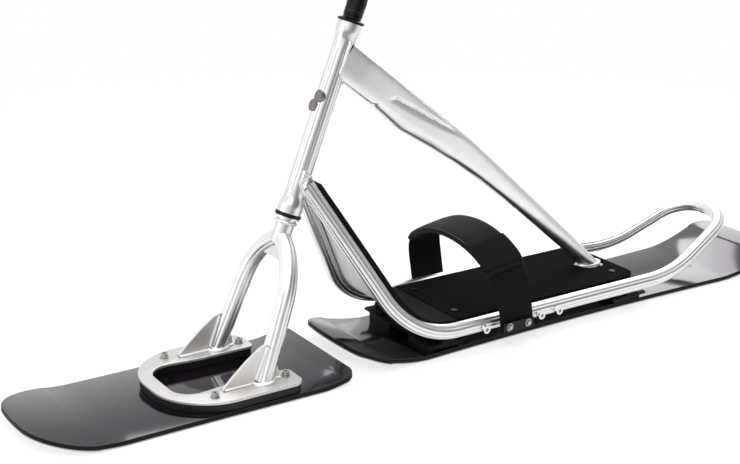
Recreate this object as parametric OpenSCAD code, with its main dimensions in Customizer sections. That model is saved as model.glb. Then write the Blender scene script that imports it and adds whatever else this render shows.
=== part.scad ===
// Snowscoot: a steered front board and a long rear board, joined by an aluminium frame.
// Millimetres. +X is forward, +Y is the rider's left, +Z is up, and the boards lie on z = 0.

/* [Boards] */
// Length of the front board, tip to tail
front_len = 584; // [540:2:620]
// Width of the front board at its nose and tail
front_w = 256; // [244:2:270]
// Width of the front board at its waist
front_waist = 250; // [240:2:260]
// Height that the front board's nose rises
front_nose_rise = 26; // [16:1:40]
// Height that the front board's tail rises
front_tail_rise = 14; // [8:1:18]
// Length of the rear board, tip to tail
rear_len = 1080; // [1040:5:1160]
// Width of the rear board at its nose and tail
rear_w = 240; // [224:2:260]
// Width of the rear board at its waist
rear_waist = 204; // [190:2:214]
// Height that the rear board's nose rises
rear_nose_rise = 36; // [30:1:50]
// Height that the rear board's tail rises
rear_tail_rise = 42; // [24:1:50]
// Gap between the front board's tail and the rear board's nose, in plan
board_gap = 16; // [12:1:30]
// Thickness of a board's core and top sheet
core_t = 8; // [6:0.5:10]
// Thickness of a board's running base
base_t = 2; // [1.5:0.5:3]
// Width of the steel edge round the base
edge_w = 3; // [2:0.5:4]

/* [Steering] */
// Angle that the steering axis leans back from vertical
rake = 21.4; // [18:0.2:26]
// Distance from the front board's tail tip to the steering axis at the snow
axis_from_tail = 178; // [165:1:195]
// Distance along the axis from the snow to the head tube's lower end
head_low = 314; // [300:1:330]
// Length of the head tube
head_len = 345; // [320:1:380]
// Outer diameter of the head tube between its flared ends
head_d = 36; // [34:1:42]
// Outer diameter of the head tube at its flared ends
head_end_d = 44; // [42:1:50]
// Bore of the head tube
head_bore = 30; // [29.5:0.5:31]
// Diameter of the steerer
steerer_d = 28.6; // [25.4:0.2:28.8]

/* [Fork] */
// Width of a fork leg's ribbed section
leg_d = 32; // [28:1:34]
// Distance of a leg's foot from the centre plane
leg_foot_y = 86; // [80:1:92]
// Angle that the straight part of a leg leans inwards
leg_splay = 5.5; // [4:0.5:7]
// Length of the straight part of a leg
leg_straight = 140; // [132:1:150]
// Radius of the bend at the top of a leg
leg_bend_r = 120; // [110:1:130]
// Angle of the bend at the top of a leg
leg_bend = 50; // [46:1:54]
// Thickness of the horseshoe plate
plate_t = 5; // [4:0.5:8]
// Thickness of the rubber under the horseshoe plate
plate_pad_t = 15; // [10:1:18]
// Half of the horseshoe plate's width
plate_half_w = 124; // [118:1:128]
// Half of the width of the opening between the horseshoe's arms
plate_gap_half = 60; // [54:1:64]
// Width of the horseshoe plate's bridge at the front
plate_bridge_w = 27; // [24:1:40]
// Distance of the horseshoe's front from the steering axis at the plate
plate_reach = 176; // [165:1:190]
// Distance of the arms' rear ends behind the steering axis at the plate
plate_back = 64; // [56:1:68]

/* [Frame] */
// Distance of the rails' centre lines from the centre plane, along the deck
rail_y = 113.5; // [106:0.5:118]
// Height of the rails' centre lines above the snow, along the deck
rail_z = 48; // [46:0.5:52]
// Width of the rail's section
rail_w = 28; // [25:0.5:30]
// Height of the rail's section
rail_h = 28; // [26:0.5:31]
// Radius of the rails' bend between deck and down part
rail_bend_r = 160; // [140:5:180]
// Distance from the rails' corner back to where they draw together
pinch_back = 578; // [568:2:596]
// Angle at which the rails draw together towards the loop
pinch = 10; // [8:0.5:11]
// Radius of the rails' bend where the rear loop starts to rise
loop_rise_r = 250; // [200:10:280]
// Angle at which the rear loop rises
loop_rise = 24; // [20:0.5:26]
// Length of the loop's straight sides
loop_run = 80; // [60:2:90]
// Distance along the axis from the head tube's lower end to the rails' joint
rail_joint_up = 52; // [44:1:70]
// Distance of the rails' centre lines from the centre plane at the head tube
rail_joint_y = 13; // [12:0.5:15]

/* [Top tube] */
// Distance along the axis from the head tube's upper end down to the tube's line
tube_joint_down = 68; // [58:1:80]
// Diameter of the top tube at its foot
tube_d = 34; // [32:1:38]
// Depth of the hydroformed front above the tube's line
tube_up = 42.5; // [38:0.5:46]
// Depth of the hydroformed front below the tube's line
tube_down = 28.5; // [24:0.5:32]
// Width of the hydroformed front
tube_w = 42; // [36:1:46]

/* [Deck] */
// Distance from the rails' corner back to the deck's rear edge
deck_back = 562; // [550:2:570]
// Distance from the rails' corner back to the top tube's foot
foot_back = 516; // [500:2:520]
// Thickness of the deck plate
deck_t = 4; // [3:0.5:6]
// Thickness of the deck's non-slip pad
deck_pad_t = 6; // [4:0.5:8]
// Height of the kick pad above the rails' upper faces
kick_proud = 4; // [2:0.5:6]
// Distance from the rails' corner back to the front riser
riser_front_back = 82; // [75:1:100]
// Distance between the front and rear risers
riser_pitch = 455; // [430:5:475]
// Length of a riser along the board
riser_len = 74; // [66:1:84]
// Thickness of the rubber under a riser
riser_pad_t = 12; // [8:1:14]

/* [Foot strap] */
// Height of the strap's arch above the deck pad
strap_h = 132; // [115:1:150]
// Width of the strap's webbing
strap_w = 72; // [60:1:85]
// Thickness of the strap's webbing
strap_t = 8; // [5:0.5:10]
// Number of eyelets on each rail
eyelets = 5; // [4:1:6]
// Distance between neighbouring eyelets
eyelet_pitch = 44; // [38:1:48]
// Bore of an eyelet
eyelet_bore = 7; // [6:0.5:8]

/* [Cockpit] */
// Height of the stack of spacers
spacer_h = 30; // [10:2:40]
// Diameter of the handlebar
bar_d = 22.2; // [22:0.2:24]
// Width of the handlebar
bar_w = 640; // [560:10:700]
// Rise of the handlebar
bar_rise = 215; // [190:5:230]
// Reach of the stem
stem_reach = 46; // [40:1:56]
// Length of a grip
grip_len = 130; // [115:5:145]
// Diameter of a grip
grip_d = 31; // [28:1:34]

/* [Hidden] */
$fn = 64;
fit = 0.3;
big = 2000;

// Heights of the layers on a board
board_t = base_t + core_t;
plate_z = board_t + plate_pad_t;
plate_top = plate_z + plate_t;

// Places along X, with the origin at the middle of the whole length
all_len = front_len + board_gap + rear_len;
front_tip_x = all_len / 2;
front_tail_x = front_tip_x - front_len;
rear_tip_x = front_tail_x - board_gap;
rear_tail_x = rear_tip_x - rear_len;
axis_x = front_tail_x + axis_from_tail;

function axis_at(w) = [axis_x - w * sin(rake), 0, w * cos(rake)];
function polar(c, r, a) = [c[0] + r * cos(a), c[1] + r * sin(a)];
function arc(c, r, a0, a1, n) = [for (i = [0:n]) polar(c, r, a0 + (a1 - a0) * i / n)];

module on_axis(w = 0) translate(axis_at(w)) rotate([0, -rake, 0]) children();

module left_half() intersection() {
    children();
    translate([-big / 2, 0, -big / 2]) cube(big);
}

// Boards: a side profile extruded across, cut to a plan outline

// Rise of a turned-up end of the given height and length at distance d past its start
function kick_z(d, rise, len) = d <= 0 ? 0 : rise * pow(d / len, 1.7);

function board_side(x_tail, x_tip, tail, nose, tail_len, nose_len, z0, z1, n = 14) =
    let (xs = concat([for (i = [n:-1:0]) [x_tail + tail_len * (1 - i / n), kick_z(i, tail, n)]],
        [for (i = [0:n]) [x_tip - nose_len * (1 - i / n), kick_z(i, nose, n)]]))
    concat([for (p = xs) [p[0], p[1] + z0]],
        [for (i = [len(xs) - 1:-1:0]) [xs[i][0], xs[i][1] + z1]]);

// Half width of a board at x, narrowest at the waist
function side_y(x, x0, x1, w_end, w_waist) =
    let (t = (2 * x - x0 - x1) / (x1 - x0)) w_waist / 2 + (w_end - w_waist) / 2 * t * t;

function board_plan(x_tail, x_tip, w_end, w_waist, tail_r, nose_r, nose_bow, off = 0, n = 16) =
    let (y_nose = w_end / 2 - nose_r, y_tail = w_end / 2 - tail_r,
        bow = function(y) nose_bow * pow(y / (w_end / 2), 2),
        side = [for (i = [0:n]) let (x = x_tail + tail_r + (x_tip - x_tail - tail_r - nose_r - nose_bow) * i / n)
            [x, side_y(x, x_tail, x_tip, w_end, w_waist) - off]],
        nose = [for (i = [1:n]) let (a = 90 - 90 * i / n, y = y_nose + nose_r * sin(a))
            [x_tip - nose_r + nose_r * cos(a) - bow(y) - off, y - off * sin(a)]],
        tail = [for (i = [0:n - 1]) let (a = 180 - 90 * i / n)
            [x_tail + tail_r + tail_r * cos(a) + off, y_tail + tail_r * sin(a) - off * sin(a)]],
        front = [for (i = [1:n - 1]) let (y = y_nose * (1 - 2 * i / n)) [x_tip - bow(y) - off, y]],
        half = concat(tail, side, nose))
    concat(half, front, [for (i = [len(half) - 1:-1:0]) [half[i][0], -half[i][1]]]);

module board_layer(x_tail, x_tip, w_end, w_waist, tail, nose, tail_len, nose_len,
        tail_r, nose_r, nose_bow, z0, z1, off = 0) intersection() {
    rotate([90, 0, 0]) translate([0, 0, -w_end]) linear_extrude(2 * w_end)
        polygon(board_side(x_tail, x_tip, tail, nose, tail_len, nose_len, z0, z1));
    linear_extrude(200) polygon(board_plan(x_tail, x_tip, w_end, w_waist, tail_r, nose_r, nose_bow, off));
}

module front_layer(z0, z1, off = 0) board_layer(front_tail_x, front_tip_x, front_w, front_waist,
    front_tail_rise, front_nose_rise, 70, 150, 26, 84, 22, z0, z1, off);

module rear_layer(z0, z1, off = 0) board_layer(rear_tail_x, rear_tip_x, rear_w, rear_waist,
    rear_tail_rise, rear_nose_rise, 170, rear_nose_len, 40, 50, 16, z0, z1, off);

module front_board_core() color("#17171a") front_layer(base_t, board_t);
module front_board_base() color("#e4e4e2") front_layer(0, base_t, edge_w);
module front_board_edge() color("#9a9c9f") difference() {
    front_layer(0, base_t);
    front_layer(-1, base_t + 1, edge_w);
}
module rear_board_core() color("#17171a") rear_layer(base_t, board_t);
module rear_board_base() color("#e4e4e2") rear_layer(0, base_t, edge_w);
module rear_board_edge() color("#9a9c9f") difference() {
    rear_layer(0, base_t);
    rear_layer(-1, base_t + 1, edge_w);
}

// Fork: a horseshoe plate on rubber, two ribbed legs that bend in to the crown

plate_axis_x = axis_at(plate_top / cos(rake))[0];
plate_front_x = plate_axis_x + plate_reach;
plate_rear_x = plate_axis_x - plate_back;
plate_nose_r = 108;
plate_heel_r = 22;
plate_toe_r = 10;
hole_nose_r = 38;
hole_swell = 7;

// Left half of the horseshoe's outline, from the front round the outside and back inside the arm
function horseshoe_half(inset) = let (
        hole_x = plate_front_x - plate_bridge_w, hole_y = plate_gap_half + hole_swell)
    concat(arc([plate_front_x - plate_nose_r, plate_half_w - plate_nose_r], plate_nose_r - inset, 0, 90, 20),
        arc([plate_rear_x + plate_heel_r, plate_half_w - plate_heel_r], plate_heel_r - inset, 90, 180, 6),
        arc([plate_rear_x + plate_toe_r, plate_gap_half + plate_toe_r], plate_toe_r - inset, 180, 270, 4),
        [[hole_x - 118, plate_gap_half + inset], [hole_x - 78, hole_y - 4 + inset], [hole_x - 56, hole_y - 1 + inset]],
        arc([hole_x - hole_nose_r, hole_y - hole_nose_r], hole_nose_r + inset, 90, 0, 10));

module horseshoe(inset = 0) {
    half = horseshoe_half(inset);
    polygon(concat(half, [for (i = [len(half) - 1:-1:0]) [half[i][0], -half[i][1]]]));
}

bolt_x = plate_axis_x + 98;
bolt_y = plate_half_w - 28;
bolt_back_x = plate_rear_x + 19;
bolt_back_y = plate_half_w - 40;

module fork_pad() color("#0c0c0d") translate([0, 0, board_t]) linear_extrude(plate_pad_t) horseshoe(2.5);

module bolt_places() for (s = [-1, 1]) {
    translate([bolt_x, s * bolt_y]) children();
    translate([bolt_back_x, s * bolt_back_y]) children();
}

module fork_plate() color("#c9cbcd") translate([0, 0, plate_z]) difference() {
    linear_extrude(plate_t) horseshoe();
    bolt_places() translate([0, 0, -1]) cylinder(d = 8.5, h = plate_t + 2, $fn = 32);
}

module fork_plate_bolts() color("#8d8f92") bolt_places() translate([0, 0, plate_top]) {
    cylinder(d = 17, h = 1.6, $fn = 32);
    translate([0, 0, 1.6]) difference() {
        cylinder(d = 13, h = 7, $fn = 32);
        translate([0, 0, 3]) cylinder(d = 6, h = 5, $fn = 6);
    }
    translate([0, 0, -plate_t]) cylinder(d = 8, h = plate_t + 1, $fn = 32);
}

// Ribbed oval section, w across and h along local X, with shallow flutes between its ribs
function ribbed_points(h, w, ribs, depth, n) = [for (i = [0:n - 1])
    let (a = 360 * i / n, cut = depth * (0.5 + 0.5 * cos(ribs * a)))
    [(h / 2 - cut) * cos(a), (w / 2 - cut) * sin(a)]];

// A frame along a bent tube is its place, its direction, and its section's two axes
function frame_run(f, len) = [f[0] + f[1] * len, f[1], f[2], f[3]];
function frame_turn(f, n, r, a) = let (b = cross(f[1], n), m = n * cos(a) - f[1] * sin(a))
    [f[0] + (n - m) * r, f[1] * cos(a) + n * sin(a), m * (f[2] * n) + b * (f[2] * b),
        m * (f[3] * n) + b * (f[3] * b)];
function frame_bend(f, n, r, a, steps) = [for (i = [1:steps]) frame_turn(f, n, r, a * i / steps)];
function last(v) = v[len(v) - 1];

// Skin through a list of frames with the same section at each
module skin(frames, section) {
    n = len(section);
    polyhedron(points = [for (f = frames, q = section) f[0] + f[2] * q[0] + f[3] * q[1]],
        faces = concat([[for (i = [0:n - 1]) i]],
            [for (k = [0:len(frames) - 2], i = [0:n - 1]) let (j = (i + 1) % n)
                [k * n + i, (k + 1) * n + i, (k + 1) * n + j, k * n + j]],
            [[for (i = [n - 1:-1:0]) (len(frames) - 1) * n + i]]));
}

crown_low = head_low - 34;
crown_d = 34;
race_drop = 9;
leg_axis_w = plate_top / cos(rake);

// Frames of the left leg in the legs' plane, from under the plate up and round into the crown
leg_under = 20;
leg_tail = 34;
leg_dir = [0, -sin(leg_splay), cos(leg_splay)];
leg_in = [0, -cos(leg_splay), -sin(leg_splay)];
leg_foot = [[0, leg_foot_y, 0] - leg_dir * leg_under, leg_dir, [1, 0, 0], -leg_in];
leg_top = frame_run(leg_foot, leg_straight + leg_under);
leg_arc = frame_bend(leg_top, leg_in, leg_bend_r, leg_bend, 10);
leg_frames = concat([leg_foot, leg_top], leg_arc, [frame_run(last(leg_arc), leg_tail)]);

module leg_sweep() on_axis(leg_axis_w) skin(leg_frames, ribbed_points(leg_d, leg_d, 8, 1.1, 32));

module leg() difference() {
    left_half() leg_sweep();
    translate([-big / 2, -big / 2, plate_top - big]) cube(big);
    on_axis(crown_low - 20) cylinder(d = crown_d, h = 160);
    on_axis(head_low - 16) cylinder(d = 120, h = 60);
}

module fork_leg_left() color("#c6c8ca") leg();
module fork_leg_right() color("#c6c8ca") mirror([0, 1, 0]) leg();

module gusset(pts, y, t) translate([0, y + t / 2, 0]) rotate([90, 0, 0]) linear_extrude(t) polygon(pts);

module fork_gussets_front() color("#c9cbcd") for (s = [-1, 1]) difference() {
    gusset([for (q = [[0, 0], [78, 0], [77, 4], [60, 20], [32, 44], [8, 61], [0, 65], [-8, 67], [-28, 67]])
        [plate_axis_x + q[0], plate_top + q[1]]], s * (leg_foot_y - 2), 6);
    if (s > 0) leg_cutter();
    else mirror([0, 1, 0]) leg_cutter();
}

module fork_gussets_rear() color("#c9cbcd") for (s = [-1, 1]) difference() {
    gusset([for (q = [[0, 0], [-32, 0], [-31, 4], [-28, 22], [-10, 22]])
        [plate_axis_x + q[0], plate_top + q[1]]], s * (leg_foot_y - 2), 6);
    if (s > 0) leg_cutter();
    else mirror([0, 1, 0]) leg_cutter();
}

module leg_cutter() on_axis(leg_axis_w) translate([0, leg_foot_y, 0]) rotate([leg_splay, 0, 0])
    translate([0, 0, leg_straight / 2]) cube([leg_d - 1, leg_d, leg_straight + 2 * leg_under], center = true);

// Centre of the left leg's bend, as height along the axis and distance out, in the legs' plane
leg_bend_c = [leg_straight * cos(leg_splay) - leg_bend_r * sin(leg_splay),
    leg_foot_y - leg_straight * sin(leg_splay) - leg_bend_r * cos(leg_splay)];
web_h = 20;
web_t = 12;

// Web that closes the arch between the legs under the crown
module crown_web() color("#c9cbcd") on_axis(leg_axis_w) translate([web_t / 2, 0, 0]) rotate([0, -90, 0])
    linear_extrude(web_t) intersection() {
        translate(leg_bend_c) circle(leg_bend_r - leg_d / 2 + 0.8, $fn = 180);
        translate([leg_bend_c[0], -leg_bend_c[1]]) circle(leg_bend_r - leg_d / 2 + 0.8, $fn = 180);
        translate([leg_bend_c[0] + sqrt(pow(leg_bend_r - leg_d / 2, 2) - pow(leg_bend_c[1], 2)) - web_h, -leg_d])
            square(2 * leg_d);
    }

module steerer() color("#b9bbbe") {
    on_axis(crown_low - 20) cylinder(d = crown_d, h = head_low - race_drop - crown_low + 20);
    on_axis(crown_low) cylinder(d = steerer_d, h = steerer_top - crown_low);
}

module crown_race() color("#111113") on_axis(head_low - race_drop) difference() {
    cylinder(d = head_end_d, h = 3);
    translate([0, 0, -1]) cylinder(d = steerer_d, h = 5);
}

// Head tube and headset

flare_h = 12;
neck_h = 34;

// Solid outside shape of the head tube, also used to cut the tubes that meet it
module head_shape() on_axis(head_low) rotate_extrude() polygon([[0, 0], [head_end_d / 2, 0],
    [head_end_d / 2, flare_h], [head_d / 2, neck_h], [head_d / 2, head_len - neck_h],
    [head_end_d / 2, head_len - flare_h], [head_end_d / 2, head_len], [0, head_len]]);

module head_tube() color("#c9cbcd") difference() {
    head_shape();
    on_axis(head_low) translate([0, 0, -1]) cylinder(d = head_bore, h = head_len + 2);
}

module headset_lower() color("#111113") on_axis(head_low - 5.5) difference() {
    cylinder(d = head_end_d + 3, h = 5.5);
    translate([0, 0, -1]) cylinder(d = steerer_d + 2 * fit, h = 8);
}

module headset_upper() color("#111113") on_axis(head_low + head_len) difference() {
    union() {
        cylinder(d = head_end_d + 4, h = 5);
        translate([0, 0, 5]) cylinder(d1 = head_end_d + 4, d2 = 35, h = 14);
    }
    translate([0, 0, -1]) cylinder(d = steerer_d + 2 * fit, h = 30);
}

module head_badge() color("#77797c") on_axis(head_low + head_len * 0.58) difference() {
    for (s = [-1, 1]) translate([0, s * 4, s * 9]) rotate([0, 90, 0]) cylinder(d = 22, h = head_d / 2 + 1.6);
    translate([0, 0, -60]) cylinder(d = head_d, h = 120);
}

// Rails: each runs from the head tube down to the deck, back, up and round to the loop's weld

rail_joint = axis_at(head_low + rail_joint_up) + [-10, rail_joint_y, 0];
corner_drop = rail_joint[2] - rail_z;
rail_corner_x = rail_joint[0] - corner_drop * 0.556;
down_dir = [rail_joint[0] - rail_corner_x, rail_joint_y - rail_y, corner_drop];
down_len = norm(down_dir);
down_turn = acos(down_dir[0] / down_len);
down_roll = atan2(rail_y - rail_joint_y, corner_drop);
down_tangent = rail_bend_r * tan(down_turn / 2);
rail_flat_x = rail_corner_x - down_tangent;

// Rear loop: the rails draw together, rise, run straight and turn round to the weld
pinch_r = 150;
pinch_x = rail_corner_x - pinch_back;
rise_lead = 15;
loop_seam = 5;

rail_flat = [[rail_flat_x, rail_y, rail_z], [1, 0, 0], [0, 0, 1], [0, 1, 0]];
down_bend = frame_bend(rail_flat, [0, -sin(down_roll), cos(down_roll)], rail_bend_r, down_turn, 12);
pinch_start = [[pinch_x, rail_y, rail_z], [-1, 0, 0], rail_flat[2], rail_flat[3]];
pinch_bend = frame_bend(pinch_start, [0, -1, 0], pinch_r, pinch, 3);
rise_start = frame_run(last(pinch_bend), rise_lead);
rise_bend = frame_bend(rise_start, [0, 0, 1], loop_rise_r, loop_rise, 6);
loop_start = frame_run(last(rise_bend), loop_run);
// Turn from the loop's side to straight across, and the radius that brings it to the centre plane
loop_dir = loop_start[1];
loop_turn = acos(-loop_dir[1]);
loop_r = (loop_start[0][1] - loop_seam) / sin(loop_turn);
loop_normal = ([0, -1, 0] + loop_dir * loop_dir[1]) / sin(loop_turn);
loop_bend = frame_bend(loop_start, loop_normal, loop_r, loop_turn, 14);
rail_front = concat([rail_flat], down_bend, [frame_run(last(down_bend), down_len - down_tangent)]);
rail_back = concat([pinch_start], pinch_bend, [rise_start], rise_bend, [loop_start], loop_bend,
    [frame_run(last(loop_bend), loop_seam)]);
rail_frames = concat([for (i = [len(rail_front) - 1:-1:0]) rail_front[i]], rail_back);

// Space that a rail takes and the room over it, as a plain box section, for cutting what lies against it
rail_room = 40;
module rail_space() {
    h = rail_h / 2 + fit;
    w = rail_w / 2 + fit;
    skin(concat([for (i = [len(rail_front) - 1:-1:0]) rail_front[i]], [pinch_start]),
        [[rail_room, -w], [rail_room, w], [-h, w], [-h, -w]]);
}

module rail() difference() {
    skin(rail_frames, ribbed_points(rail_h, rail_w, 8, 1.0, 32));
    translate([rail_corner_x, -big, 0]) cube(big);
    on_axis(head_low - 20) translate([0, -100, 0]) cube([200, 200, head_len]);
    head_shape();
}

module rail_left() color("#c9cbcd") rail();
module rail_right() color("#c9cbcd") mirror([0, 1, 0]) rail();

// Top tube: rings of a rounded box that turn round towards the foot

deck_top = rail_z + rail_h / 2 + 0.5;
tube_top = axis_at(head_low + head_len - tube_joint_down);
tube_foot = [rail_corner_x - foot_back, 0, rail_z + rail_h / 2];
tube_vec = tube_top - tube_foot;
tube_len = norm(tube_vec);
tube_pitch = atan2(tube_vec[2], tube_vec[0]);
// Share of the length from the head, height above the line, depth below it, width, squareness
tube_rings = [
    [0.00, 1.00, 1.00, 1.00, 0.62],
    [0.14, 1.00, 0.95, 1.00, 0.62],
    [0.24, 1.00, 1.07, 0.99, 0.55],
    [0.34, 1.00, 0.68, 0.97, 0.48],
    [0.43, 0.97, 0.40, 0.94, 0.38],
    [0.52, 0.91, 0.27, 0.90, 0.22],
    [0.63, 0.82, 0.235, 0.86, 0.08],
    [0.77, 0.70, 0.25, 0.83, 0.0],
    [0.88, 0.59, 0.30, 0.81, 0.0],
    [1.03, 0.40, 0.58, 0.81, 0.0]];
ring_n = 32;

function box_point(a, top, bottom, w, square) =
    let (c = cos(a), s = sin(a), p = 1 / (1 + 2.2 * square),
        y = sign(c) * pow(abs(c), p) * w / 2, h = (top + bottom) / 2, m = (top - bottom) / 2)
    [y, m + sign(s) * pow(abs(s), p) * h];

module top_tube() color("#c9cbcd") difference() {
    translate(tube_top) rotate([0, -tube_pitch, 0]) polyhedron(
        points = [for (r = tube_rings, i = [0:ring_n - 1])
            let (q = box_point(360 * i / ring_n, tube_up * r[1], tube_down * r[2], tube_w * r[3], r[4]))
            [-r[0] * tube_len, q[0], q[1]]],
        faces = concat([[for (i = [0:ring_n - 1]) i]],
            [for (k = [0:len(tube_rings) - 2], i = [0:ring_n - 1]) let (j = (i + 1) % ring_n)
                [k * ring_n + j, k * ring_n + i, (k + 1) * ring_n + i, (k + 1) * ring_n + j]],
            [[for (i = [ring_n - 1:-1:0]) (len(tube_rings) - 1) * ring_n + i]]));
    head_shape();
    on_axis(head_low - 20) translate([0, -100, 0]) cube([400, 200, head_len + 80]);
    translate([-big / 2, -big / 2, deck_top - deck_pad_t - big]) cube(big);
}

// Deck: a plate between the rails that turns up to the head tube, with a pad on it

deck_rear_x = rail_corner_x - deck_back;
kick_turn = atan2(corner_drop, rail_joint[0] - rail_corner_x);
kick_len = norm([corner_drop, rail_joint[0] - rail_corner_x]) - 110;

// Side line of the deck at the given depth below the pad's top face, flat and then up the kick
deck_rise = deck_top - rail_z;
kick_rise = rail_h / 2 + kick_proud;
deck_corner_x = rail_corner_x - (kick_rise - deck_rise * cos(kick_turn)) / sin(kick_turn);
deck_bend_r = rail_bend_r - rail_h / 2 - kick_proud;
deck_bend_run = deck_bend_r * tan(kick_turn / 2);
deck_bend_x = deck_corner_x - deck_bend_run;
function deck_line(depth) = let (r = deck_bend_r + depth, top = [sin(kick_turn), -cos(kick_turn)])
    concat([[deck_rear_x, deck_top - depth]],
        arc([deck_bend_x, deck_top + deck_bend_r], r, -90, kick_turn - 90, 14),
        [[deck_bend_x + r * top[0] - kick_len * top[1], deck_top + deck_bend_r + r * top[1] + kick_len * top[0]]]);

module deck_solid(d0, d1, rear = 0) let (edge = deck_edge(rear)) difference() {
    intersection() {
        rotate([90, 0, 0]) translate([0, 0, -rail_y]) linear_extrude(2 * rail_y)
            polygon(concat(deck_line(d0), [for (i = [len(deck_line(d1)) - 1:-1:0]) deck_line(d1)[i]]));
        linear_extrude(big) polygon(concat(edge, [for (i = [len(edge) - 1:-1:0]) [edge[i][0], -edge[i][1]]]));
    }
    for (s = [0, 1]) mirror([0, s, 0]) rail_space();
    on_axis(0) cylinder(d = head_end_d + 2, h = big);
}

// Edge of the deck in plan on the left, round its rear corner and then inside the rail, which trims it
deck_half_w = rail_y - rail_w / 2 - fit;
deck_corner_r = 30;
function deck_edge(back) = concat(
    arc([deck_rear_x + back + deck_corner_r, deck_half_w - deck_corner_r], deck_corner_r, 180, 90, 6),
    [[deck_rear_x + back + deck_corner_r + 1, rail_y], [rail_flat_x, rail_y], [rail_corner_x - 8, rail_y - 3],
    [rail_joint[0], rail_joint_y]]);

module deck_plate() color("#b9bbbe") difference() {
    deck_solid(deck_pad_t, deck_pad_t + deck_t, 6);
    screw_places() translate([0, 0, -20]) cylinder(d = 6, h = 60, $fn = 24);
}

// Slot in the pad round the top tube's slanted foot and its weld
foot_slot_d = tube_d + 18;
foot_slot_back = 11;
foot_slot_len = 14;
module foot_slot() translate([tube_foot[0] - foot_slot_back, 0, 0]) linear_extrude(big) {
    circle(d = foot_slot_d);
    translate([0, -foot_slot_d / 2]) square([foot_slot_len, foot_slot_d]);
    translate([foot_slot_len, 0]) circle(d = foot_slot_d);
}

// The flat pad ends where the kick starts, and its edge stands a little above the kick pad
seam_back = 12;
seam_x = rail_flat_x - seam_back;
kick_step = 1.5;
module ahead_of_seam(gap = 0) translate([seam_x + gap, -big / 2, 0]) cube(big);

module deck_pad() color("#161617") difference() {
    deck_solid(0, deck_pad_t);
    foot_slot();
    ahead_of_seam();
    screw_places() translate([0, 0, -20]) cylinder(d = 6, h = 60, $fn = 24);
}

module kick_pad() color("#211d1b") intersection() {
    deck_solid(kick_step, deck_pad_t);
    ahead_of_seam(fit);
}

screw_x = [rail_corner_x - 128, deck_rear_x + 36];
module screw_places() for (x = screw_x, s = [-1, 1])
    translate([x, s * (rail_y - rail_w / 2 - 36), deck_top]) children();

module deck_screws() color("#8d8f92") screw_places() {
    cylinder(d = 12, h = 2, $fn = 32);
    translate([0, 0, -deck_pad_t - deck_t]) cylinder(d = 6, h = deck_pad_t + deck_t, $fn = 24);
}

// Risers between the rear board and the rails

rail_low = rail_z - rail_h / 2;
riser_front_x = rail_corner_x - riser_front_back;
riser_rear_x = riser_front_x - riser_pitch;
// The rear board's nose starts to rise just ahead of the front riser
rear_nose_len = rear_tip_x - riser_front_x - riser_len / 2 - 4;
riser_w = 2 * rail_y;

module riser(x) color("#1c1c1e") translate([x, -riser_w / 2, board_t + riser_pad_t]) difference() {
    rotate([-90, 0, 0]) linear_extrude(riser_w) polygon([
        [-riser_len / 2, 0], [riser_len / 2, 0], [riser_len / 2, -5], [riser_len / 2 - 22, -5],
        [riser_len / 2 - 25, -(rail_low - board_t - riser_pad_t)],
        [25 - riser_len / 2, -(rail_low - board_t - riser_pad_t)], [22 - riser_len / 2, -5], [-riser_len / 2, -5]]);
}

module riser_pad(x) color("#0c0c0d") translate([x - riser_len / 2 + 2, 0, board_t])
    for (s = [-1, 1]) translate([0, s * 66 - 34, 0]) cube([riser_len - 4, 68, riser_pad_t]);

module riser_front() riser(riser_front_x);
module riser_rear() riser(riser_rear_x);
module riser_pad_front() riser_pad(riser_front_x);
module riser_pad_rear() riser_pad(riser_rear_x);

module riser_bolts() color("#8d8f92")
    for (x = [riser_front_x, riser_rear_x], e = [-1, 1], s = [-1, 1])
        translate([x + e * (riser_len / 2 - 10), s * 66, board_t + riser_pad_t + 5]) {
            cylinder(d = 15, h = 1.4, $fn = 32);
            cylinder(d = 11, h = 7, $fn = 32);
        }

// Foot strap: eyelets on each rail, an anchor plate, the webbing arch and its padded sleeve

strap_x = rail_flat_x - 120;
eyelet_z = rail_z - 4;
eyelet_out = 9;
strap_y = rail_y + rail_w / 2 + eyelet_out + fit;
module eyelet_places() for (i = [0:eyelets - 1])
    translate([strap_x + (1.5 - i) * eyelet_pitch, rail_y + rail_w / 2, eyelet_z])
        children();

module eyelet_set() eyelet_places() rotate([-90, 0, 0]) difference() {
    cylinder(d = 15, h = eyelet_out, $fn = 40);
    translate([0, 0, -1]) cylinder(d = eyelet_bore, h = eyelet_out + 2, $fn = 32);
}

module eyelets_left() color("#b9bbbe") eyelet_set();
module eyelets_right() mirror([0, 1, 0]) eyelets_left();

anchor_len = eyelet_pitch + 28;
anchor_t = 3;
module anchor() color("#4a4b4e") translate([strap_x, strap_y + strap_t + fit, eyelet_z]) rotate([-90, 0, 0]) {
    linear_extrude(anchor_t) square([anchor_len, 18], center = true);
    for (e = [-1, 1]) translate([e * eyelet_pitch / 2, 0, anchor_t]) cylinder(d = 11, h = 4, $fn = 32);
}
module anchor_left() anchor();
module anchor_right() mirror([0, 1, 0]) anchor();

strap_top = deck_top + strap_h;
strap_r = 105;
strap_lean = 9;

module strap_profile(grow = 0) {
    translate([-strap_y - strap_t - grow, eyelet_z - 10])
        square([2 * (strap_y + strap_t + grow), strap_top - strap_r - eyelet_z + 10]);
    translate([-strap_y - strap_t - grow + strap_r, strap_top - strap_r])
        square([2 * (strap_y + strap_t + grow - strap_r), strap_r + grow]);
    for (s = [-1, 1]) translate([s * (strap_y + strap_t + grow - strap_r), strap_top - strap_r]) circle(strap_r);
}

module leaning() translate([strap_x, 0, eyelet_z]) rotate([0, strap_lean, 0]) translate([0, 0, -eyelet_z]) children();

module strap_band() color("#141415") leaning() translate([strap_w / 2, 0, 0]) rotate([90, 0, -90])
    linear_extrude(strap_w) difference() {
        strap_profile();
        translate([0, -strap_t]) strap_inner();
    }

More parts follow.
